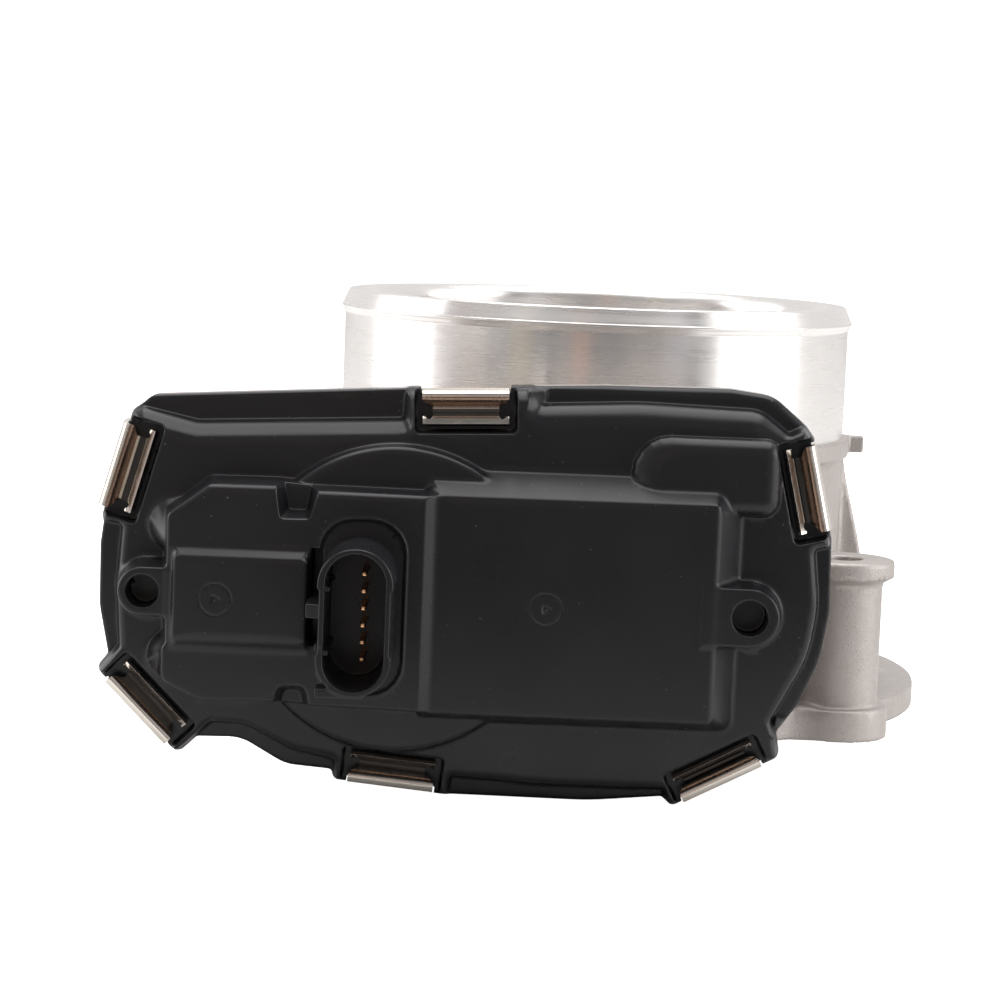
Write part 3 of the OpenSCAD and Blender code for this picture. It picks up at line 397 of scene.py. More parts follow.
def shroud_field(step):
    """Connector shroud: an oval socket with a stepped wall, foot, latch and polarising rib."""
    f = Field((-52.5, 73, 10), (-32.4, 98.2, 39), step, True)
    y, (cx, cz), base = f.y, SOCKET_MID, SOCKET_FLOOR - 0.9
    oval = f.outline(round_rect(SOCKET_MID, SOCKET_SIZE, SOCKET_R), 10)
    ends = smooth_step(np.abs(f.z - cz), 5.3, 5.7)
    outer = oval + 0.34 * (1 - ends) - 0.012 * (MOUTH - y)
    d = meet(outer, y - MOUTH, 0.3)
    # Flat foot under the mouth
    foot = np.maximum(np.maximum(cx - 6.2 - f.x, f.x - cx - 2.1), np.maximum(11.85 - f.z, f.z - 13.4))
    d = join(d, meet(np.maximum(foot, 91.6 - y), y - MOUTH + 0.05, 0.2), 0.4)
    # Latch ramp and a small rib on the left side
    latch = np.maximum(np.abs(f.z - 25.4) - 1.2, np.abs(f.x + 47.6) - 2)
    d = join(d, meet(latch, np.maximum(y - 90.2 - 0.25 * (f.x + 49.6), 74 - y), 0.2), 0.3)
    rib = np.maximum(np.abs(f.z - 19.5) - 0.55, np.abs(f.x + 47.1) - 0.7)
    d = join(d, meet(rib, np.maximum(y - 92, base - y), 0.25), 0.2)
    bore = f.outline(round_rect(SOCKET_MID, SOCKET_BORE, SOCKET_BORE_R), 10)
    d = meet(d, -np.maximum(bore + 0.01 * (MOUTH - y), SOCKET_FLOOR - y), 0.25)
    # Guide ribs inside, on the left wall
    for z in (cz - 5.4, cz + 5.4):
        rib = np.maximum(np.abs(f.z - z) - 0.4, np.abs(f.x - cx + 5) - 0.7)
        d = join(d, np.maximum(rib, np.maximum(y - 95.4, SOCKET_FLOOR - y)), 0.2)
    f.d = np.maximum(d, np.where(f.x < -47.55, 74 - y, base - y))
    return f


# ---------- the casting ----------

# Planes of the gear chamber's floor and rim
FLOOR_BACK, FLOOR_FRONT, RIM_BACK = 55.2, 57.6, 64
BORE_R, LINER_R, NECK_R, FLANGE_R = 43.5, 45, 49, 65
# Bolt bosses: distance from both centre planes, height and radii
BOLT_AT, BOSS_H, SEAT_R, COLUMN_R, BOLT_R, TOOL_R = 45.5, 32.6, 9.4, 7.4, 3.5, 7.6
BOLTS = [(sx, sy) for sx in (-1, 1) for sy in (-1, 1)]
FLANGE_T, LEDGE_Z, LEDGE_TOP = 5, 47.6, 51.2


def casting_field(step):
    """The cast body below the turned neck: flange, ribs, bolt bosses and gear chamber, with its bores."""
    f = Field((-88.4, -67, -11), (66.4, 68.4, 66), step, True)
    x, y, z = f.x, f.y, f.z
    round_z = np.hypot(x, y)
    slab = lambda low, high: np.maximum(low - z, z - high)
    d = meet(round_z - NECK_R, z - LEDGE_Z - 1, 0.2) + 0 * z
    # Flange, ledge with its tab
    d = join(d, meet(round_z - FLANGE_R, np.maximum(z - FLANGE_T, -20 - z), 1), 2.2)
    d = join(d, meet(round_z - NECK_R - 1.2, slab(LEDGE_Z, LEDGE_TOP), 0.35), 0.6)
    tab = np.maximum(np.abs(y) - 1.6, slab(LEDGE_Z + 0.4, LEDGE_TOP))
    d = join(d, meet(np.maximum(NECK_R - 3 - x, x - 53.4), tab, 0.3), 0.5)
    # Tapered ribs
    for angle in range(0, 360, 60):
        c, s = math.cos(math.radians(angle)), math.sin(math.radians(angle))
        out, side = x * c - y * s, np.abs(x * s + y * c)
        top = np.maximum((out - 59.9) * 0.98 + (z - FLANGE_T) * 0.25, (out - 50.2) * 0.96 + (z - 46.4) * 0.19)
        rib = meet(side - 1.9, np.maximum(top, np.maximum(z - 47.8, 30 - out)), 0.6)
        d = join(d, rib, 1.4)
    # Bolt bosses: foot, column, seat and the web to the body
    for sx, sy in BOLTS:
        r = np.hypot(x - sx * BOLT_AT, y - sy * BOLT_AT)
        boss = meet(r - COLUMN_R, z - BOSS_H + 1, 0)
        boss = join(boss, meet(r - SEAT_R, z - 5.8, 0.5), 0.5)
        flare = (r - COLUMN_R - 1.8 * (z - BOSS_H + 4.2)) * 0.486
        boss = join(boss, meet(np.maximum(r - SEAT_R, flare), z - BOSS_H, 0.6), 0.35)
        u = (-(x - sx * BOLT_AT) * sx - (y - sy * BOLT_AT) * sy) * DIAGONAL
        v = (-(x - sx * BOLT_AT) * sy + (y - sy * BOLT_AT) * sx) * DIAGONAL
        web = meet(np.abs(v) - 3.6, np.maximum(np.maximum(-u, u - 22), z - BOSS_H + 5.4), 1)
        d = join(d, join(boss, web, 1.2), 1.4 + 2.6 * smooth_step(-z, -8, -5))
    # Gear chamber, bosses behind it and their ties to the body
    chamber = f.outline(CHAMBER_OUTLINE)
    rim = f.outline(RIM_OUTLINE)
    clean = np.maximum(chamber, FLOOR_FRONT - y)
    d = join(d, meet(chamber - 2.4, FLOOR_BACK - y, 1.2), 1.6)
    d = join(d, meet(rim, RIM_BACK - y, 0.5), 0.9)
    d = join(d, rod_y(f, 0, SHAFT_Z, 20.8, FLOOR_FRONT, 38, 1), 1.5)
    d = join(d, rod_y(f, 0, SHAFT_Z, 11, -NECK_R + 8, -60, 0.6), 1.6)
    d = join(d, rod_y(f, MOTOR_X, SHAFT_Z, 14.6, FLOOR_FRONT, 14.4, 2), 1.5)
    d = join(d, rod_y(f, GEAR_X, SHAFT_Z, 5.5, FLOOR_FRONT, 47, 0.6), 1)
    motor_screws = [SHAFT_Z + sz * MOTOR_SCREW_REACH for sz in (-1, 1)]
    for pz in motor_screws:
        d = join(d, rod_y(f, MOTOR_X, pz, 3.6, FLOOR_FRONT, 50.2, 0.6), 1)
    for low, high in (((-30, 36.2, 2), (30, 56.2, 46)), ((-58, 16, 12), (-36, 44, 40))):
        sides = meet(np.maximum(low[1] - y, y - high[1]), slab(low[2], high[2]), 1.2)
        d = join(d, meet(np.maximum(low[0] - x, x - high[0]), sides, 1.2), 1.2)
    # Cuts: chamber, passages, bores, bolt holes and the tool space above each bolt
    d = np.maximum(d, -clean)
    # Block of the closed-stop screw, and its hole
    block = np.maximum(np.maximum(np.maximum(11.5 - x, x - 20.5), slab(34, 42)), np.maximum(y - 62.6, 57 - y))
    d = np.minimum(d, block)
    d = np.maximum(d, -np.maximum(np.hypot(x - 16, y - 60.1) - 2.05, 30 - z))
    d = np.maximum(d, LINER_R - round_z + 0 * z)
    for sx, sy in BOLTS:
        r = np.hypot(x - sx * BOLT_AT, y - sy * BOLT_AT)
        d = meet(d, -np.maximum(r - TOOL_R, BOSS_H + 0.2 - z), 0.3)
        d = meet(d, BOLT_R - r + 0 * z, 0.35)
    for px, r, front, back in (
            (0, 5.3, 90, -47), (0, 11, 90, 51.4), (0, 8, 90, 48.4), (0, 7.5, -45, -70),
            (MOTOR_X, 12.2, 90, 17), (GEAR_X, 2.5, 90, 48.5)):
        d = np.maximum(d, -rod_y(f, px, SHAFT_Z, r, front, back))
    # Ring-shaped seat of the return spring
    ring = np.abs(np.hypot(x, z - SHAFT_Z) - 16.2) - 2.8
    d = np.maximum(d, -np.maximum(ring, 48.6 - y))
    for pz in motor_screws:
        d = np.maximum(d, -rod_y(f, MOTOR_X, pz, 1.5, 90, 51.2))
    for _, cx, cz, angle, *_ in CLIPS:
        at, px, pz = f.near(cx, cz, 16)
        out, along = clip_frame(cx, cz, angle, px, pz)
        notch = np.maximum(np.abs(along) - NOTCH_HALF, -NOTCH_DEPTH - out)
        d[at] = np.maximum(d[at], -np.maximum(notch, 62.9 - y))
    # Groove for the seal
    d = np.maximum(d, -np.maximum(np.abs(chamber - 1.4) - 0.6, PARTING - 1.6 - y))
    f.d = np.maximum(np.maximum(d, y - PARTING), -z)
    return f


def lathe(name, profile, segments):
    """A solid of revolution about Z from (radius, height) points in millimetres."""
    held, support = [], 0.08
    for (r0, z0), (r1, z1) in zip(profile, profile[1:] + profile[:1]):
        length = math.hypot(r1 - r0, z1 - z0)
        # Extra rings next to the ends of a long face keep its shading flat
        stops = (0, support / length, 1 - support / length) if length > 0.6 else (0,)
        held += [(r0 + (r1 - r0) * t, z0 + (z1 - z0) * t) for t in stops]
    profile, n = held, len(held)
    verts = [(r * MM * math.cos(a), r * MM * math.sin(a), z * MM)
             for a in (2 * math.pi * k / segments for k in range(segments)) for r, z in profile]
    faces = []
    for k in range(segments):
        m = (k + 1) % segments
        for i in range(n):
            j = (i + 1) % n
            faces.append((k * n + i, m * n + i, m * n + j, k * n + j))
    return solid(name, verts, faces, 28)


def arc(cx, cz, r, a0, a1, n):
    return [(cx + r * math.cos(math.radians(a0 + (a1 - a0) * k / n)),
             cz + r * math.sin(math.radians(a0 + (a1 - a0) * k / n))) for k in range(n + 1)]


# ---------- the clips ----------

CLIP_T = 0.8
# Middle line of the bent strip: (outwards, forwards of the rim)
CLIP_PATH = [
    (-2.9, -6.6), (-2, -6.1), (-1.2, -6.1), (-0.62, -5.82), (-0.4, -5.2), (-0.4, -1), (-0.45, 0.8),
    (-0.7, 2.2), (-0.95, 2.85), (-1.35, 3.15), (-1.75, 3.1), (-2.15, 2.7), (-2.9, 1.5), (-3.2, 1),
    (-3.5, 0.72), (-3.9, 0.6), (-4.5, 0.55), (-4.75, 0.62), (-4.95, 0.95), (-5.1, 1.2), (-6.1, 1.85)]
# Where the strip's steep part starts and ends, and where its hollow part does, as outwards positions
# for two kinds of clip. Both parts are painted darker than the rest, as painted shade.
CLIP_BANDS = [(-1.3, -2.9, -3.4, -4.75), (-1.95, -2.3, -2.3, -4.55)]


def fine_path(points, step):
    """The path with softened bends, resampled, and its length at each point."""
    p = np.array(points, float)
    for _ in range(3):
        q = [p[0]]
        for a, b in zip(p[:-1], p[1:]):
            q += [0.75 * a + 0.25 * b, 0.25 * a + 0.75 * b]
        p = np.array(q + [p[-1]])
    s = np.concatenate([[0], np.cumsum(np.linalg.norm(np.diff(p, axis=0), axis=1))])
    t = np.linspace(0, s[-1], int(s[-1] / step) + 1)
    return np.stack([np.interp(t, s, p[:, 0]), np.interp(t, s, p[:, 1])], 1), t


def clip_sheet(name, cx, cz, angle, depth, bands):
    """A spring clip: a stamped strip with chamfered shoulders and a hooked lip, bent along its path."""
    # The part behind the crest is stretched so that the lip reaches to its depth
    fixed, stretch = -2.2, (depth - 2.6) / 3.9
    path, s = fine_path(
        [(u if u > fixed or v < 0 else fixed + (u - fixed) * stretch, v) for u, v in CLIP_PATH], 0.12)
    tangent = np.gradient(path, axis=0)
    tangent /= np.linalg.norm(tangent, axis=1, keepdims=True)
    normal = np.stack([-tangent[:, 1], tangent[:, 0]], 1)
    crest = int(np.argmax(path[:, 1]))
    reach = lambda u: float(s[crest + int(np.argmin(np.abs(path[crest:, 0] - u)))])
    s_shoulder, s_neck, s_lip = reach(-1.9), reach(-2.9), reach(fixed - 2.75 * stretch)
    s_end = float(s[-1])
    steep, steep_end, hollow, hollow_end = (reach(u) for u in CLIP_BANDS[bands])
    # Across the strip: half widths of the whole, of its middle and of the hooks' roots
    half, inner, hook = 7.5, 5.8, 6.95
    cols = np.unique(np.concatenate([
        np.linspace(-half, -hook, 4), np.linspace(-hook, -inner, 8), np.linspace(-inner, inner, 9),
        np.linspace(inner, hook, 8), np.linspace(hook, half, 4)]).round(5))
    n_a, n_m, n_b = 70, 10, 16
    rows_a = np.linspace(0, 1, n_a + 1)

    def front_of_notch(w):
        w = abs(w)
        if w >= hook:
            return s_lip + 0.15
        t = (w - inner) / (hook - inner)
        return s_lip + 0.15 + 0.55 * math.sqrt(max(0, 1 - (2 * t - 1) ** 2)) * (1 - 0.25 * t)

    verts, index = [], {}

    def vertex(key, si, w, side):
        if key not in index:
            u = np.interp(si, s, path[:, 0]) + side * CLIP_T / 2 * np.interp(si, s, normal[:, 0])
            v = np.interp(si, s, path[:, 1]) + side * CLIP_T / 2 * np.interp(si, s, normal[:, 1])
            c, sn = math.cos(math.radians(angle)), math.sin(math.radians(angle))
            index[key] = len(verts)
            verts.append(((cx + u * c - w * sn) * MM, -(RIM + v) * MM, (cz + u * sn + w * c) * MM))
        return index[key]

    def station(i, w):
        """Length along the strip of row i at width w, or None in the notch."""
        wide = abs(w) > inner + 1e-6
        end_a = s_neck if not wide else s_neck - (s_neck - s_shoulder) * (abs(w) - inner) / (half - inner)
        start_b = s_lip + 0.15 if not wide else front_of_notch(w)
        if i <= n_a:
            return end_a * rows_a[i]
        if i < n_a + n_m:
            return s_neck + (s_lip + 0.15 - s_neck) * (i - n_a) / n_m
        return start_b + (s_end - start_b) * (i - n_a - n_m) / n_b

    cells = set()
    for i in range(n_a + n_m + n_b):
        for j in range(len(cols) - 1):
            middle = abs(cols[j] + cols[j + 1]) / 2 < inner
            if middle or i < n_a or i >= n_a + n_m:
                cells.add((i, j))
    faces, tones = [], []
    for i, j in sorted(cells):
        ring = [(i, j), (i + 1, j), (i + 1, j + 1), (i, j + 1)]
        across = (cols[j] + cols[j + 1]) / 2
        middle_s = (station(i, across) + station(i + 1, across)) / 2
        # The steep and hollow bands take the painted shade materials, index 1 and 2
        tone = 1 if steep < middle_s < steep_end else 2 if hollow < middle_s < hollow_end else 0
        for side, order in ((1, 1), (-1, -1)):
            f = [vertex((a, b, side), station(a, cols[b]), cols[b], side) for a, b in ring]
            faces.append(tuple(f[::order]))
            tones.append(tone)
        for (di, dj), (p, q) in (((-1, 0), (0, 3)), ((1, 0), (2, 1)), ((0, -1), (1, 0)), ((0, 1), (3, 2))):
            if (i + di, j + dj) not in cells:
                a, b = ring[p], ring[q]
                faces.append(tuple(index[(k[0], k[1], sd)] for k, sd in ((a, 1), (a, -1), (b, -1), (b, 1))))
                tones.append(0)
    o = solid(name, verts, faces, 40)
    o.data.polygons.foreach_set("material_index", tones)
    bevel = o.modifiers.new("edges", "BEVEL")
    bevel.width, bevel.segments, bevel.angle_limit = 0.00009, 2, math.radians(40)
    bevel.harden_normals = True
    return o


def terminal_blade(name, k):
    """A square terminal with chamfered edges and a pointed tip."""
    z = TERMINAL_Z + (k - 2.5) * TERMINAL_PITCH
    stations = [(72.2, 1), (87.6, 1), (88.1, 0.88), (88.4, 0.66), (88.48, 0.3)]
    verts, faces = [], []
    shape = [(-1, -0.7), (-0.8, -1), (0.8, -1), (1, -0.7), (1, 0.7), (0.8, 1), (-0.8, 1), (-1, 0.7)]
    for y, scale in stations:
        for a, b in shape:
            verts.append(((TERMINAL_X + 0.48 * a * scale) * MM, -y * MM, (z + 0.42 * b * scale) * MM))
    m = len(shape)
    for i in range(len(stations) - 1):
        for j in range(m):
            n = (j + 1) % m
            faces.append((i * m + j, (i + 1) * m + j, (i + 1) * m + n, i * m + n))
    faces += [tuple(range(m)), tuple(reversed(range((len(stations) - 1) * m, len(stations) * m)))]
    return solid(name, verts, faces, 30)


# ---------- materials ----------


class Nodes:
    """Builds one node material."""

    def __init__(self, name, color, rough, metallic=0.0, **sockets):
        self.mat = bpy.data.materials.new(name)
        self.mat.use_nodes = True
        self.tree = self.mat.node_tree
        self.shader = self.tree.nodes["Principled BSDF"]
        self.coords = self.tree.nodes.new("ShaderNodeTexCoord").outputs["Object"]
        self.height = None
        self.set("Base Color", (*color, 1))
        self.set("Roughness", rough)
        self.set("Metallic", metallic)
        for k, v in sockets.items():
            self.set(k.replace("_", " "), v)

    def set(self, socket, value):
        self.shader.inputs[socket].default_value = value

    def node(self, kind, **inputs):
        n = self.tree.nodes.new(kind)
        for k, v in inputs.items():
            if hasattr(n, k):
                setattr(n, k, v)
            elif isinstance(v, bpy.types.NodeSocket):
                self.tree.links.new(v, n.inputs[k])
            else:
                n.inputs[k].default_value = v
        return n

    def link(self, a, b):
        self.tree.links.new(a, b)

    def stretched(self, scale):
        m = self.node("ShaderNodeMapping")
        self.link(self.coords, m.inputs["Vector"])
        m.inputs["Scale"].default_value = scale
        return m.outputs["Vector"]

    def noise(self, scale, detail=3.0, rough=0.55, vector=None):
        n = self.node("ShaderNodeTexNoise", Scale=scale, Detail=detail, Roughness=rough)
        self.link(vector or self.coords, n.inputs["Vector"])
        return n.outputs["Fac"]

    def ramp(self, fac, stops):
        n = self.node("ShaderNodeValToRGB")
        self.link(fac, n.inputs["Fac"])
        e = n.color_ramp.elements
        while len(e) < len(stops):
            e.new(0.5)
        for i, (at, c) in enumerate(stops):
            e[i].position, e[i].color = at, (c, c, c, 1)
        return n.outputs["Color"]

    def vary(self, socket, fac, low, high):
        n = self.node("ShaderNodeMapRange")
        self.link(fac, n.inputs["Value"])
        n.inputs["From Min"].default_value, n.inputs["From Max"].default_value = 0.3, 0.7
        n.inputs["To Min"].default_value, n.inputs["To Max"].default_value = low, high
        self.link(n.outputs["Result"], self.shader.inputs[socket])

    def mix(self, fac, a, b):
        n = self.node("ShaderNodeMix", data_type="RGBA")
        for socket, v in ((n.inputs[0], fac), (n.inputs[6], a), (n.inputs[7], b)):
            if isinstance(v, bpy.types.NodeSocket):
                self.link(v, socket)
            else:
                socket.default_value = v if isinstance(v, float) else (*v, 1)
        return n.outputs[2]

    def math(self, op, a, b=0.0):
        n = self.node("ShaderNodeMath", operation=op)
        for i, v in enumerate((a, b)):
            if isinstance(v, bpy.types.NodeSocket):
                self.link(v, n.inputs[i])
            else:
                n.inputs[i].default_value = v
        return n.outputs[0]

    def bump(self, height, strength, distance):
        n = self.node("ShaderNodeBump", Strength=strength, Distance=distance)
        self.link(height, n.inputs["Height"])
        if self.height is not None:
            self.link(self.height, n.inputs["Normal"])
        self.height = n.outputs["Normal"]
        self.link(self.height, self.shader.inputs["Normal"])


def moulded_plastic(name, color, rough):
    """Moulded plastic: fine spark-eroded grain, uneven sheen and a few pale specks of dust."""
    m = Nodes(name, color, rough, Specular_IOR_Level=0.42)
    m.vary("Roughness", m.noise(42, 4), rough - 0.05, rough + 0.06)
    specks = m.ramp(m.noise(1500, 1, 0.4), [(0.0, 0.0), (0.765, 0.0), (0.79, 1.0)])
    dust = m.math("MULTIPLY", specks, m.ramp(m.noise(160, 2), [(0.5, 0.0), (0.62, 1.0)]))
    pale = tuple(min(1, c + 0.10) for c in color)
    shade = m.mix(m.noise(90, 5), tuple(c * 0.88 for c in color), tuple(c * 1.12 for c in color))
    m.link(m.mix(dust, shade, pale), m.shader.inputs["Base Color"])
    m.bump(m.noise(3200, 2), 0.12, 0.00004)
    return m.mat


def cast_metal(name, color):
    """Blasted casting: a pebbled grain with pits and faint blotches."""
    m = Nodes(name, color, 0.5, 0.85)
    blotch = m.mix(m.noise(70, 6), tuple(c * 0.9 for c in color), tuple(min(1, c * 1.08) for c in color))
    pits = m.ramp(m.noise(2600, 3, 0.6), [(0.0, 1.0), (0.31, 1.0), (0.36, 0.0)])
    m.link(m.mix(pits, blotch, tuple(c * 0.62 for c in color)), m.shader.inputs["Base Color"])
    m.vary("Roughness", m.noise(700, 4), 0.42, 0.6)
    cells = m.node("ShaderNodeTexVoronoi", Scale=3300.0, feature="SMOOTH_F1", Smoothness=1.0)
    m.link(m.coords, cells.inputs["Vector"])
    m.bump(cells.outputs["Distance"], 0.5, 0.00011)
    m.bump(m.noise(3000, 4, 0.7), 0.55, 0.00013)
    return m.mat


def turned_metal(name, color, rough, lines=5200.0, aniso=0.6):
    """Turned metal: fine circular tool lines that smear its reflections along the axis."""
    m = Nodes(name, color, rough, 1.0, Anisotropic=aniso)
    rings = m.noise(lines, 2, 0.5, m.stretched((0.02, 0.02, 1)))
    m.vary("Roughness", m.noise(900, 3, 0.6, m.stretched((0.03, 0.03, 1))), rough - 0.03, rough + 0.05)
    wash = m.mix(m.noise(60, 4), tuple(c * 0.97 for c in color), tuple(min(1, c * 1.02) for c in color))
    m.link(wash, m.shader.inputs["Base Color"])
    m.set("Anisotropic Rotation", 0.25)
    tangent = m.node("ShaderNodeTangent", direction_type="RADIAL", axis="Z")
    m.link(tangent.outputs[0], m.shader.inputs["Tangent"])
    m.bump(rings, 0.06, 0.00005)
    return m.mat


def brushed_metal(name, color, rough, scale=1800.0, grain=0.08):
    """Rolled, plated or machined metal with a fine grain and uneven gloss."""
    m = Nodes(name, color, rough, 1.0)
    m.vary("Roughness", m.noise(240, 4), rough - 0.05, rough + 0.08)
    tone = m.mix(m.noise(120, 4), tuple(c * 0.93 for c in color), tuple(min(1, c * 1.05) for c in color))
    m.link(tone, m.shader.inputs["Base Color"])
    m.bump(m.noise(scale, 3, 0.6), grain, 0.00005)
    return m.mat


def soft_matt(name, color, rough):
    """Rubber, nylon, ferrite or board: matt, with a fine uneven surface."""
    m = Nodes(name, color, rough)
    tone = m.mix(m.noise(200, 4), tuple(c * 0.85 for c in color), tuple(min(1, c * 1.15) for c in color))
    m.link(tone, m.shader.inputs["Base Color"])
    m.vary("Roughness", m.noise(500, 3), rough - 0.06, rough + 0.08)
    m.bump(m.noise(1400.0, 3), 0.2, 0.00006)
    return m.mat


PLASTIC = moulded_plastic("cover_plastic", (0.0118, 0.0120, 0.0142), 0.30)
CASTING = cast_metal("cast_aluminium", (0.49, 0.455, 0.435))
TURNED = turned_metal("turned_aluminium", (0.90, 0.875, 0.86), 0.27, aniso=0.85)
CLIP = brushed_metal("plated_clip_steel", (0.83, 0.775, 0.71), 0.17, 2600.0, 0.12)
# Darker copies of the clip steel: painted shade on the clips' steep and hollow bands
CLIP_SLOPE_SHADE = brushed_metal("clip_steel_painted_slope_shade", (0.34, 0.23, 0.17), 0.24, 3600.0, 0.5)
CLIP_TROUGH_SHADE = brushed_metal("clip_steel_painted_trough_shade", (0.07, 0.066, 0.063), 0.36, 2600.0, 0.15)
STEEL = brushed_metal("ground_steel", (0.56, 0.55, 0.54), 0.26)
DARK_STEEL = brushed_metal("blackened_steel", (0.13, 0.125, 0.12), 0.38)
SPRING = brushed_metal("spring_wire", (0.36, 0.35, 0.34), 0.3)
PLATE = turned_metal("valve_plate_metal", (0.72, 0.70, 0.68), 0.24, 3000.0, 0.3)
NYLON = soft_matt("gear_nylon", (0.62, 0.60, 0.52), 0.45)
RUBBER = soft_matt("seal_rubber", (0.02, 0.02, 0.021), 0.62)
FERRITE = soft_matt("magnet_ferrite", (0.055, 0.052, 0.05), 0.55)
COPPER = brushed_metal("copper_strip", (0.76, 0.42, 0.26), 0.3)
GOLD = brushed_metal("terminal_tips", (0.95, 0.56, 0.32), 0.3)
BRONZE = brushed_metal("sintered_bronze", (0.56, 0.40, 0.20), 0.5, 2200.0, 0.3)
BOARD = soft_matt("circuit_board", (0.02, 0.10, 0.045), 0.38)
DARK_PLASTIC = moulded_plastic("motor_plastic", (0.018, 0.022, 0.026), 0.5)

SLOT_MATERIALS = {
    "cast_aluminium": CASTING, "cover_plastic": PLASTIC, "spring_steel": CLIP, "steel": STEEL,
    "plate_metal": PLATE, "gear_nylon": NYLON, "seal_rubber": RUBBER, "magnet": FERRITE,
    "copper": COPPER, "terminal_gold": GOLD, "sintered_bronze": BRONZE, "board": BOARD,
    "motor_plastic": DARK_PLASTIC}
NODE_MATERIALS = {
    "return_spring": SPRING, "motor_wave_washer": SPRING, "stop_screw": DARK_STEEL,
    "plate_screws": DARK_STEEL}


def dress(o, material, slot, *nodes):
    """A piece on the housing that stands for CAD nodes."""
    o.data.materials.append(material)
    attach(o, "housing")
    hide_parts(*nodes)
    return o


# ---------- camera, floor and lights ----------

camera = bpy.data.objects.new("camera", bpy.data.cameras.new("camera"))
bpy.context.scene.collection.objects.link(camera)
bpy.context.scene.camera = camera
camera.data.sensor_width, camera.data.lens = 36, 111.29
camera.data.clip_start, camera.data.clip_end = 0.02, 50
pitch, yaw, roll = (math.radians(v) for v in (6.1912, 0.1073, 2.3012))
ahead = Vector((math.sin(yaw) * math.cos(pitch), math.cos(yaw) * math.cos(pitch), -math.sin(pitch)))
right = Vector((math.cos(yaw), -math.sin(yaw), 0))
up = right.cross(ahead)
right, up = right * math.cos(roll) + up * math.sin(roll), up * math.cos(roll) - right * math.sin(roll)
turn = Matrix((right, up, -ahead)).transposed().to_4x4()
camera.matrix_world = Matrix.Translation((-0.018538, -0.605052, 0.101329)) @ turn

floor_z = CAD_BOX[0].z
me = bpy.data.meshes.new("floor")
angles, floor_r = [k * math.pi / 48 for k in range(96)], 12
me.from_pydata(
    [(floor_r * math.cos(a), floor_r * math.sin(a), floor_z) for a in angles], [], [tuple(range(96))])
floor = add("floor", me)
pale = Nodes("pale_floor", (0.4, 0.4, 0.4), 0.9, Specular_IOR_Level=0.0)
# The floor is pale round the object's sides and dim in front of it
spot = pale.node("ShaderNodeSeparateXYZ")
pale.link(pale.coords, spot.inputs[0])
aside = pale.math("MULTIPLY", pale.math("ABSOLUTE", spot.outputs["X"]), 4.5)
front = pale.math("SUBTRACT", pale.math("MULTIPLY", spot.outputs["Y"], -8.0), aside)
dimness = pale.ramp(pale.math("SUBTRACT", front, 0.9), [(0.0, 0.0), (1.0, 1.0)])
pale.link(pale.mix(dimness, (0.8, 0.79, 0.78), (0.13, 0.13, 0.13)), pale.shader.inputs["Base Color"])
pale.set("Emission Color", (1, 1, 1, 1))
pale.link(pale.node("ShaderNodeLightPath").outputs["Is Camera Ray"], pale.shader.inputs["Emission Strength"])
floor.data.materials.append(pale.mat)


def softbox(name, at, look, size, power):
    """A rectangular area light that points at a place."""
    data = bpy.data.lights.new(name, "AREA")
    data.shape, data.size, data.size_y = "RECTANGLE", size[0], size[1]
    data.energy = power
    o = bpy.data.objects.new(name, data)
    bpy.context.scene.collection.objects.link(o)
    o.location = at
    o.rotation_euler = (Vector(look) - Vector(at)).to_track_quat("-Z", "Y").to_euler()
    o.visible_camera = False


softbox("overhead", (0, 0.05, 1.5), (0, -0.02, 0.03), (1.7, 1.5), 20)
softbox("right_side", (1.5, -0.35, 0.5), (0, -0.02, 0.04), (1.3, 1.2), 13)
softbox("left_side", (-1.5, 0.15, 0.45), (0, -0.02, 0.04), (1.2, 1.1), 11)


def card(name, angle, width, shade, bottom=-0.4, top=0.62, distance=0.74):
    """An upright card in front of the object that its polished surfaces reflect, unseen by the camera."""
    a0, a1 = math.radians(angle - width / 2), math.radians(angle + width / 2)
    steps = 6
    turns = [a0 + (a1 - a0) * k / steps for k in range(steps + 1)]
    pts = [(distance * math.sin(a), -distance * math.cos(a)) for a in turns]
    me = bpy.data.meshes.new(name)
    me.from_pydata([(x, y, z) for x, y in pts for z in (bottom, top)], [],
                   [(2 * k, 2 * k + 2, 2 * k + 3, 2 * k + 1) for k in range(steps)])
    o = add(name, me)
    m = Nodes(name + "_shade", (0, 0, 0), 1.0, Specular_IOR_Level=0.0)
    m.set("Emission Color", (*shade, 1))
    m.set("Emission Strength", 1.0)
    o.data.materials.append(m.mat)
    o.visible_camera = o.visible_diffuse = o.visible_shadow = False


for name, angle, width, shade in (
        ("card_a", -71, 15, (0.50, 0.45, 0.45)), ("card_b", -56, 14, (0.60, 0.55, 0.52)),
        ("card_c", -43, 9, (0.44, 0.43, 0.43)), ("card_d", -34, 8, (0.56, 0.50, 0.40)),
        ("card_e", -25, 8, (0.34, 0.33, 0.34)), ("card_f", -16, 8, (0.40, 0.39, 0.38)),
        ("card_g", -8, 7, (0.62, 0.42, 0.34)), ("card_h", 4, 16, (0.30, 0.29, 0.29)),
        ("card_i", 20, 16, (0.42, 0.39, 0.37)), ("card_j", 34, 12, (0.55, 0.54, 0.56))):
    card(name, angle, width, shade)

world = bpy.data.worlds.new("studio")
bpy.context.scene.world = world
world.use_nodes = True
tree = world.node_tree
seen, lit = tree.nodes.new("ShaderNodeBackground"), tree.nodes["Background"]
seen.inputs["Color"].default_value, seen.inputs["Strength"].default_value = (1, 1, 1, 1), 1.02
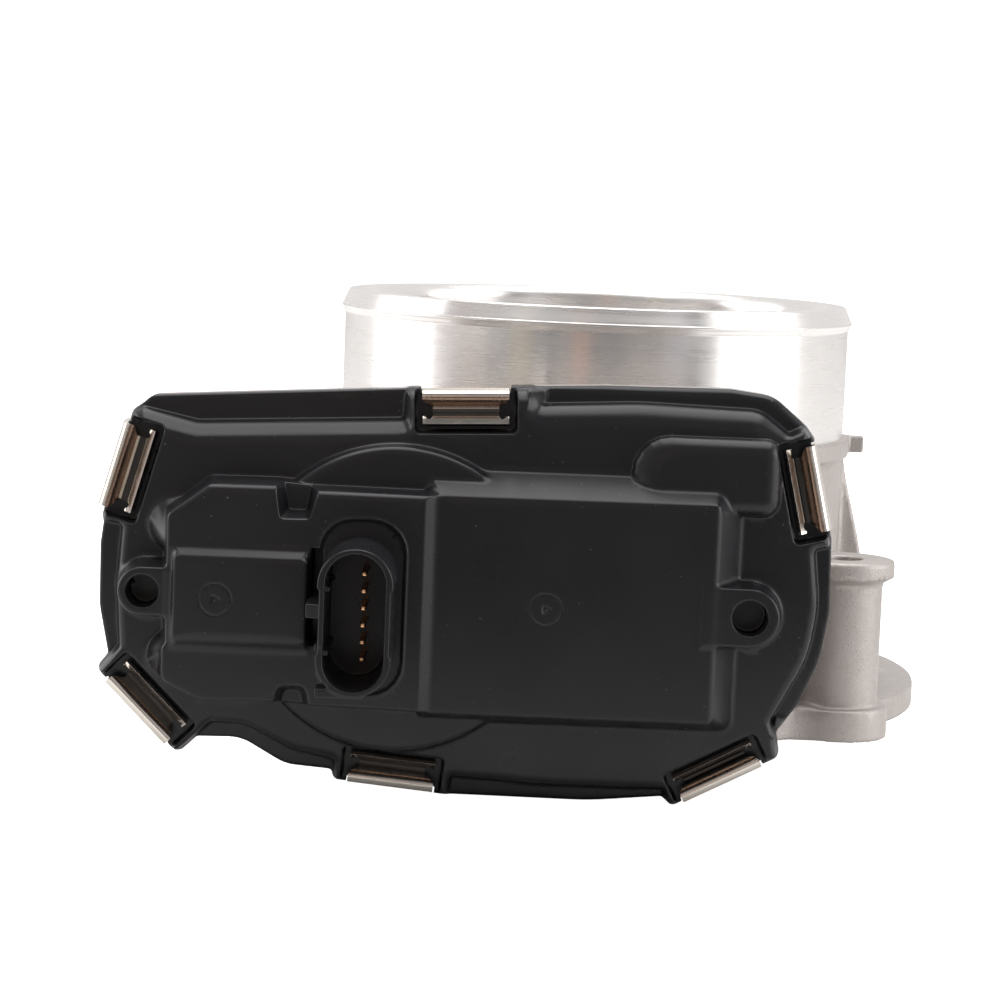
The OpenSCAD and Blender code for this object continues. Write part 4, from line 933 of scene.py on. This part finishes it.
# The studio is pale behind and above the object and dim in front of it
towards = tree.nodes.new("ShaderNodeSeparateXYZ")
tree.links.new(tree.nodes.new("ShaderNodeTexCoord").outputs["Generated"], towards.inputs[0])
shade = tree.nodes.new("ShaderNodeMapRange")
tree.links.new(towards.outputs["Y"], shade.inputs["Value"])
for key, value in (("From Min", -0.55), ("From Max", 0.25), ("To Min", 0.14), ("To Max", 0.82)):
    shade.inputs[key].default_value = value
lit.inputs["Color"].default_value = (1, 0.985, 0.975, 1)
tree.links.new(shade.outputs["Result"], lit.inputs["Strength"])
pick, path_node = tree.nodes.new("ShaderNodeMixShader"), tree.nodes.new("ShaderNodeLightPath")
tree.links.new(path_node.outputs["Is Camera Ray"], pick.inputs[0])
tree.links.new(lit.outputs[0], pick.inputs[1])
tree.links.new(seen.outputs[0], pick.inputs[2])
tree.links.new(pick.outputs[0], tree.nodes["World Output"].inputs["Surface"])
bpy.context.scene.view_settings.view_transform = "Standard"

# ---------- pieces ----------

cover_step, shroud_step, casting_step = ((0.26, 0.16, 0.5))
cover = cover_field(cover_step).mesh("cover_shell", 0.006)
dress(cover, PLASTIC, "cover_plastic", "cover")
shroud = shroud_field(shroud_step).mesh("connector_shroud", 0.006)
dress(shroud, PLASTIC, "cover_plastic", "cover")
casting = casting_field(casting_step).mesh("cast_body", 0.05)
dress(casting, CASTING, "cast_aluminium", "throttle_housing")
neck = (
    [(BORE_R, 0.02), (BORE_R, 74.0)] + arc(BORE_R + 2.4, 74.0, 2.4, 180, 90, 8)
    + [(48.1, 76.4)] + arc(48.1, 76.1, 0.3, 90, 20, 3) + [(49.5, 73.6)] + arc(49.1, 73.3, 0.55, 20, -60, 5)
    + arc(49.35, 71.9, 0.35, 120, 180, 3) + [(NECK_R, 51.15), (46.6, 50.6), (LINER_R, 49.5), (LINER_R, 0.02)])
dress(lathe("turned_neck", neck, 256), TURNED, "cast_aluminium", "throttle_housing")
for name, *place in CLIPS:
    sheet = dress(clip_sheet(name + "_sheet", *place), CLIP, "spring_steel", name)
    # Painted shade materials for the steep and hollow bands
    sheet.data.materials.append(CLIP_SLOPE_SHADE)
    sheet.data.materials.append(CLIP_TROUGH_SHADE)
for k in range(6):
    dress(terminal_blade("terminal_blade_%d" % (6 - k), k), GOLD, "terminal_gold", "terminal_%d" % (6 - k))

slots = {p["node"]: p["material_slot"] for p in frame["record"]["subparts"]}
for name, node in frame["nodes"].items():
    if not node.hide_render:
        node.data.materials.clear()
        node.data.materials.append(NODE_MATERIALS.get(name, SLOT_MATERIALS[slots[name]]))
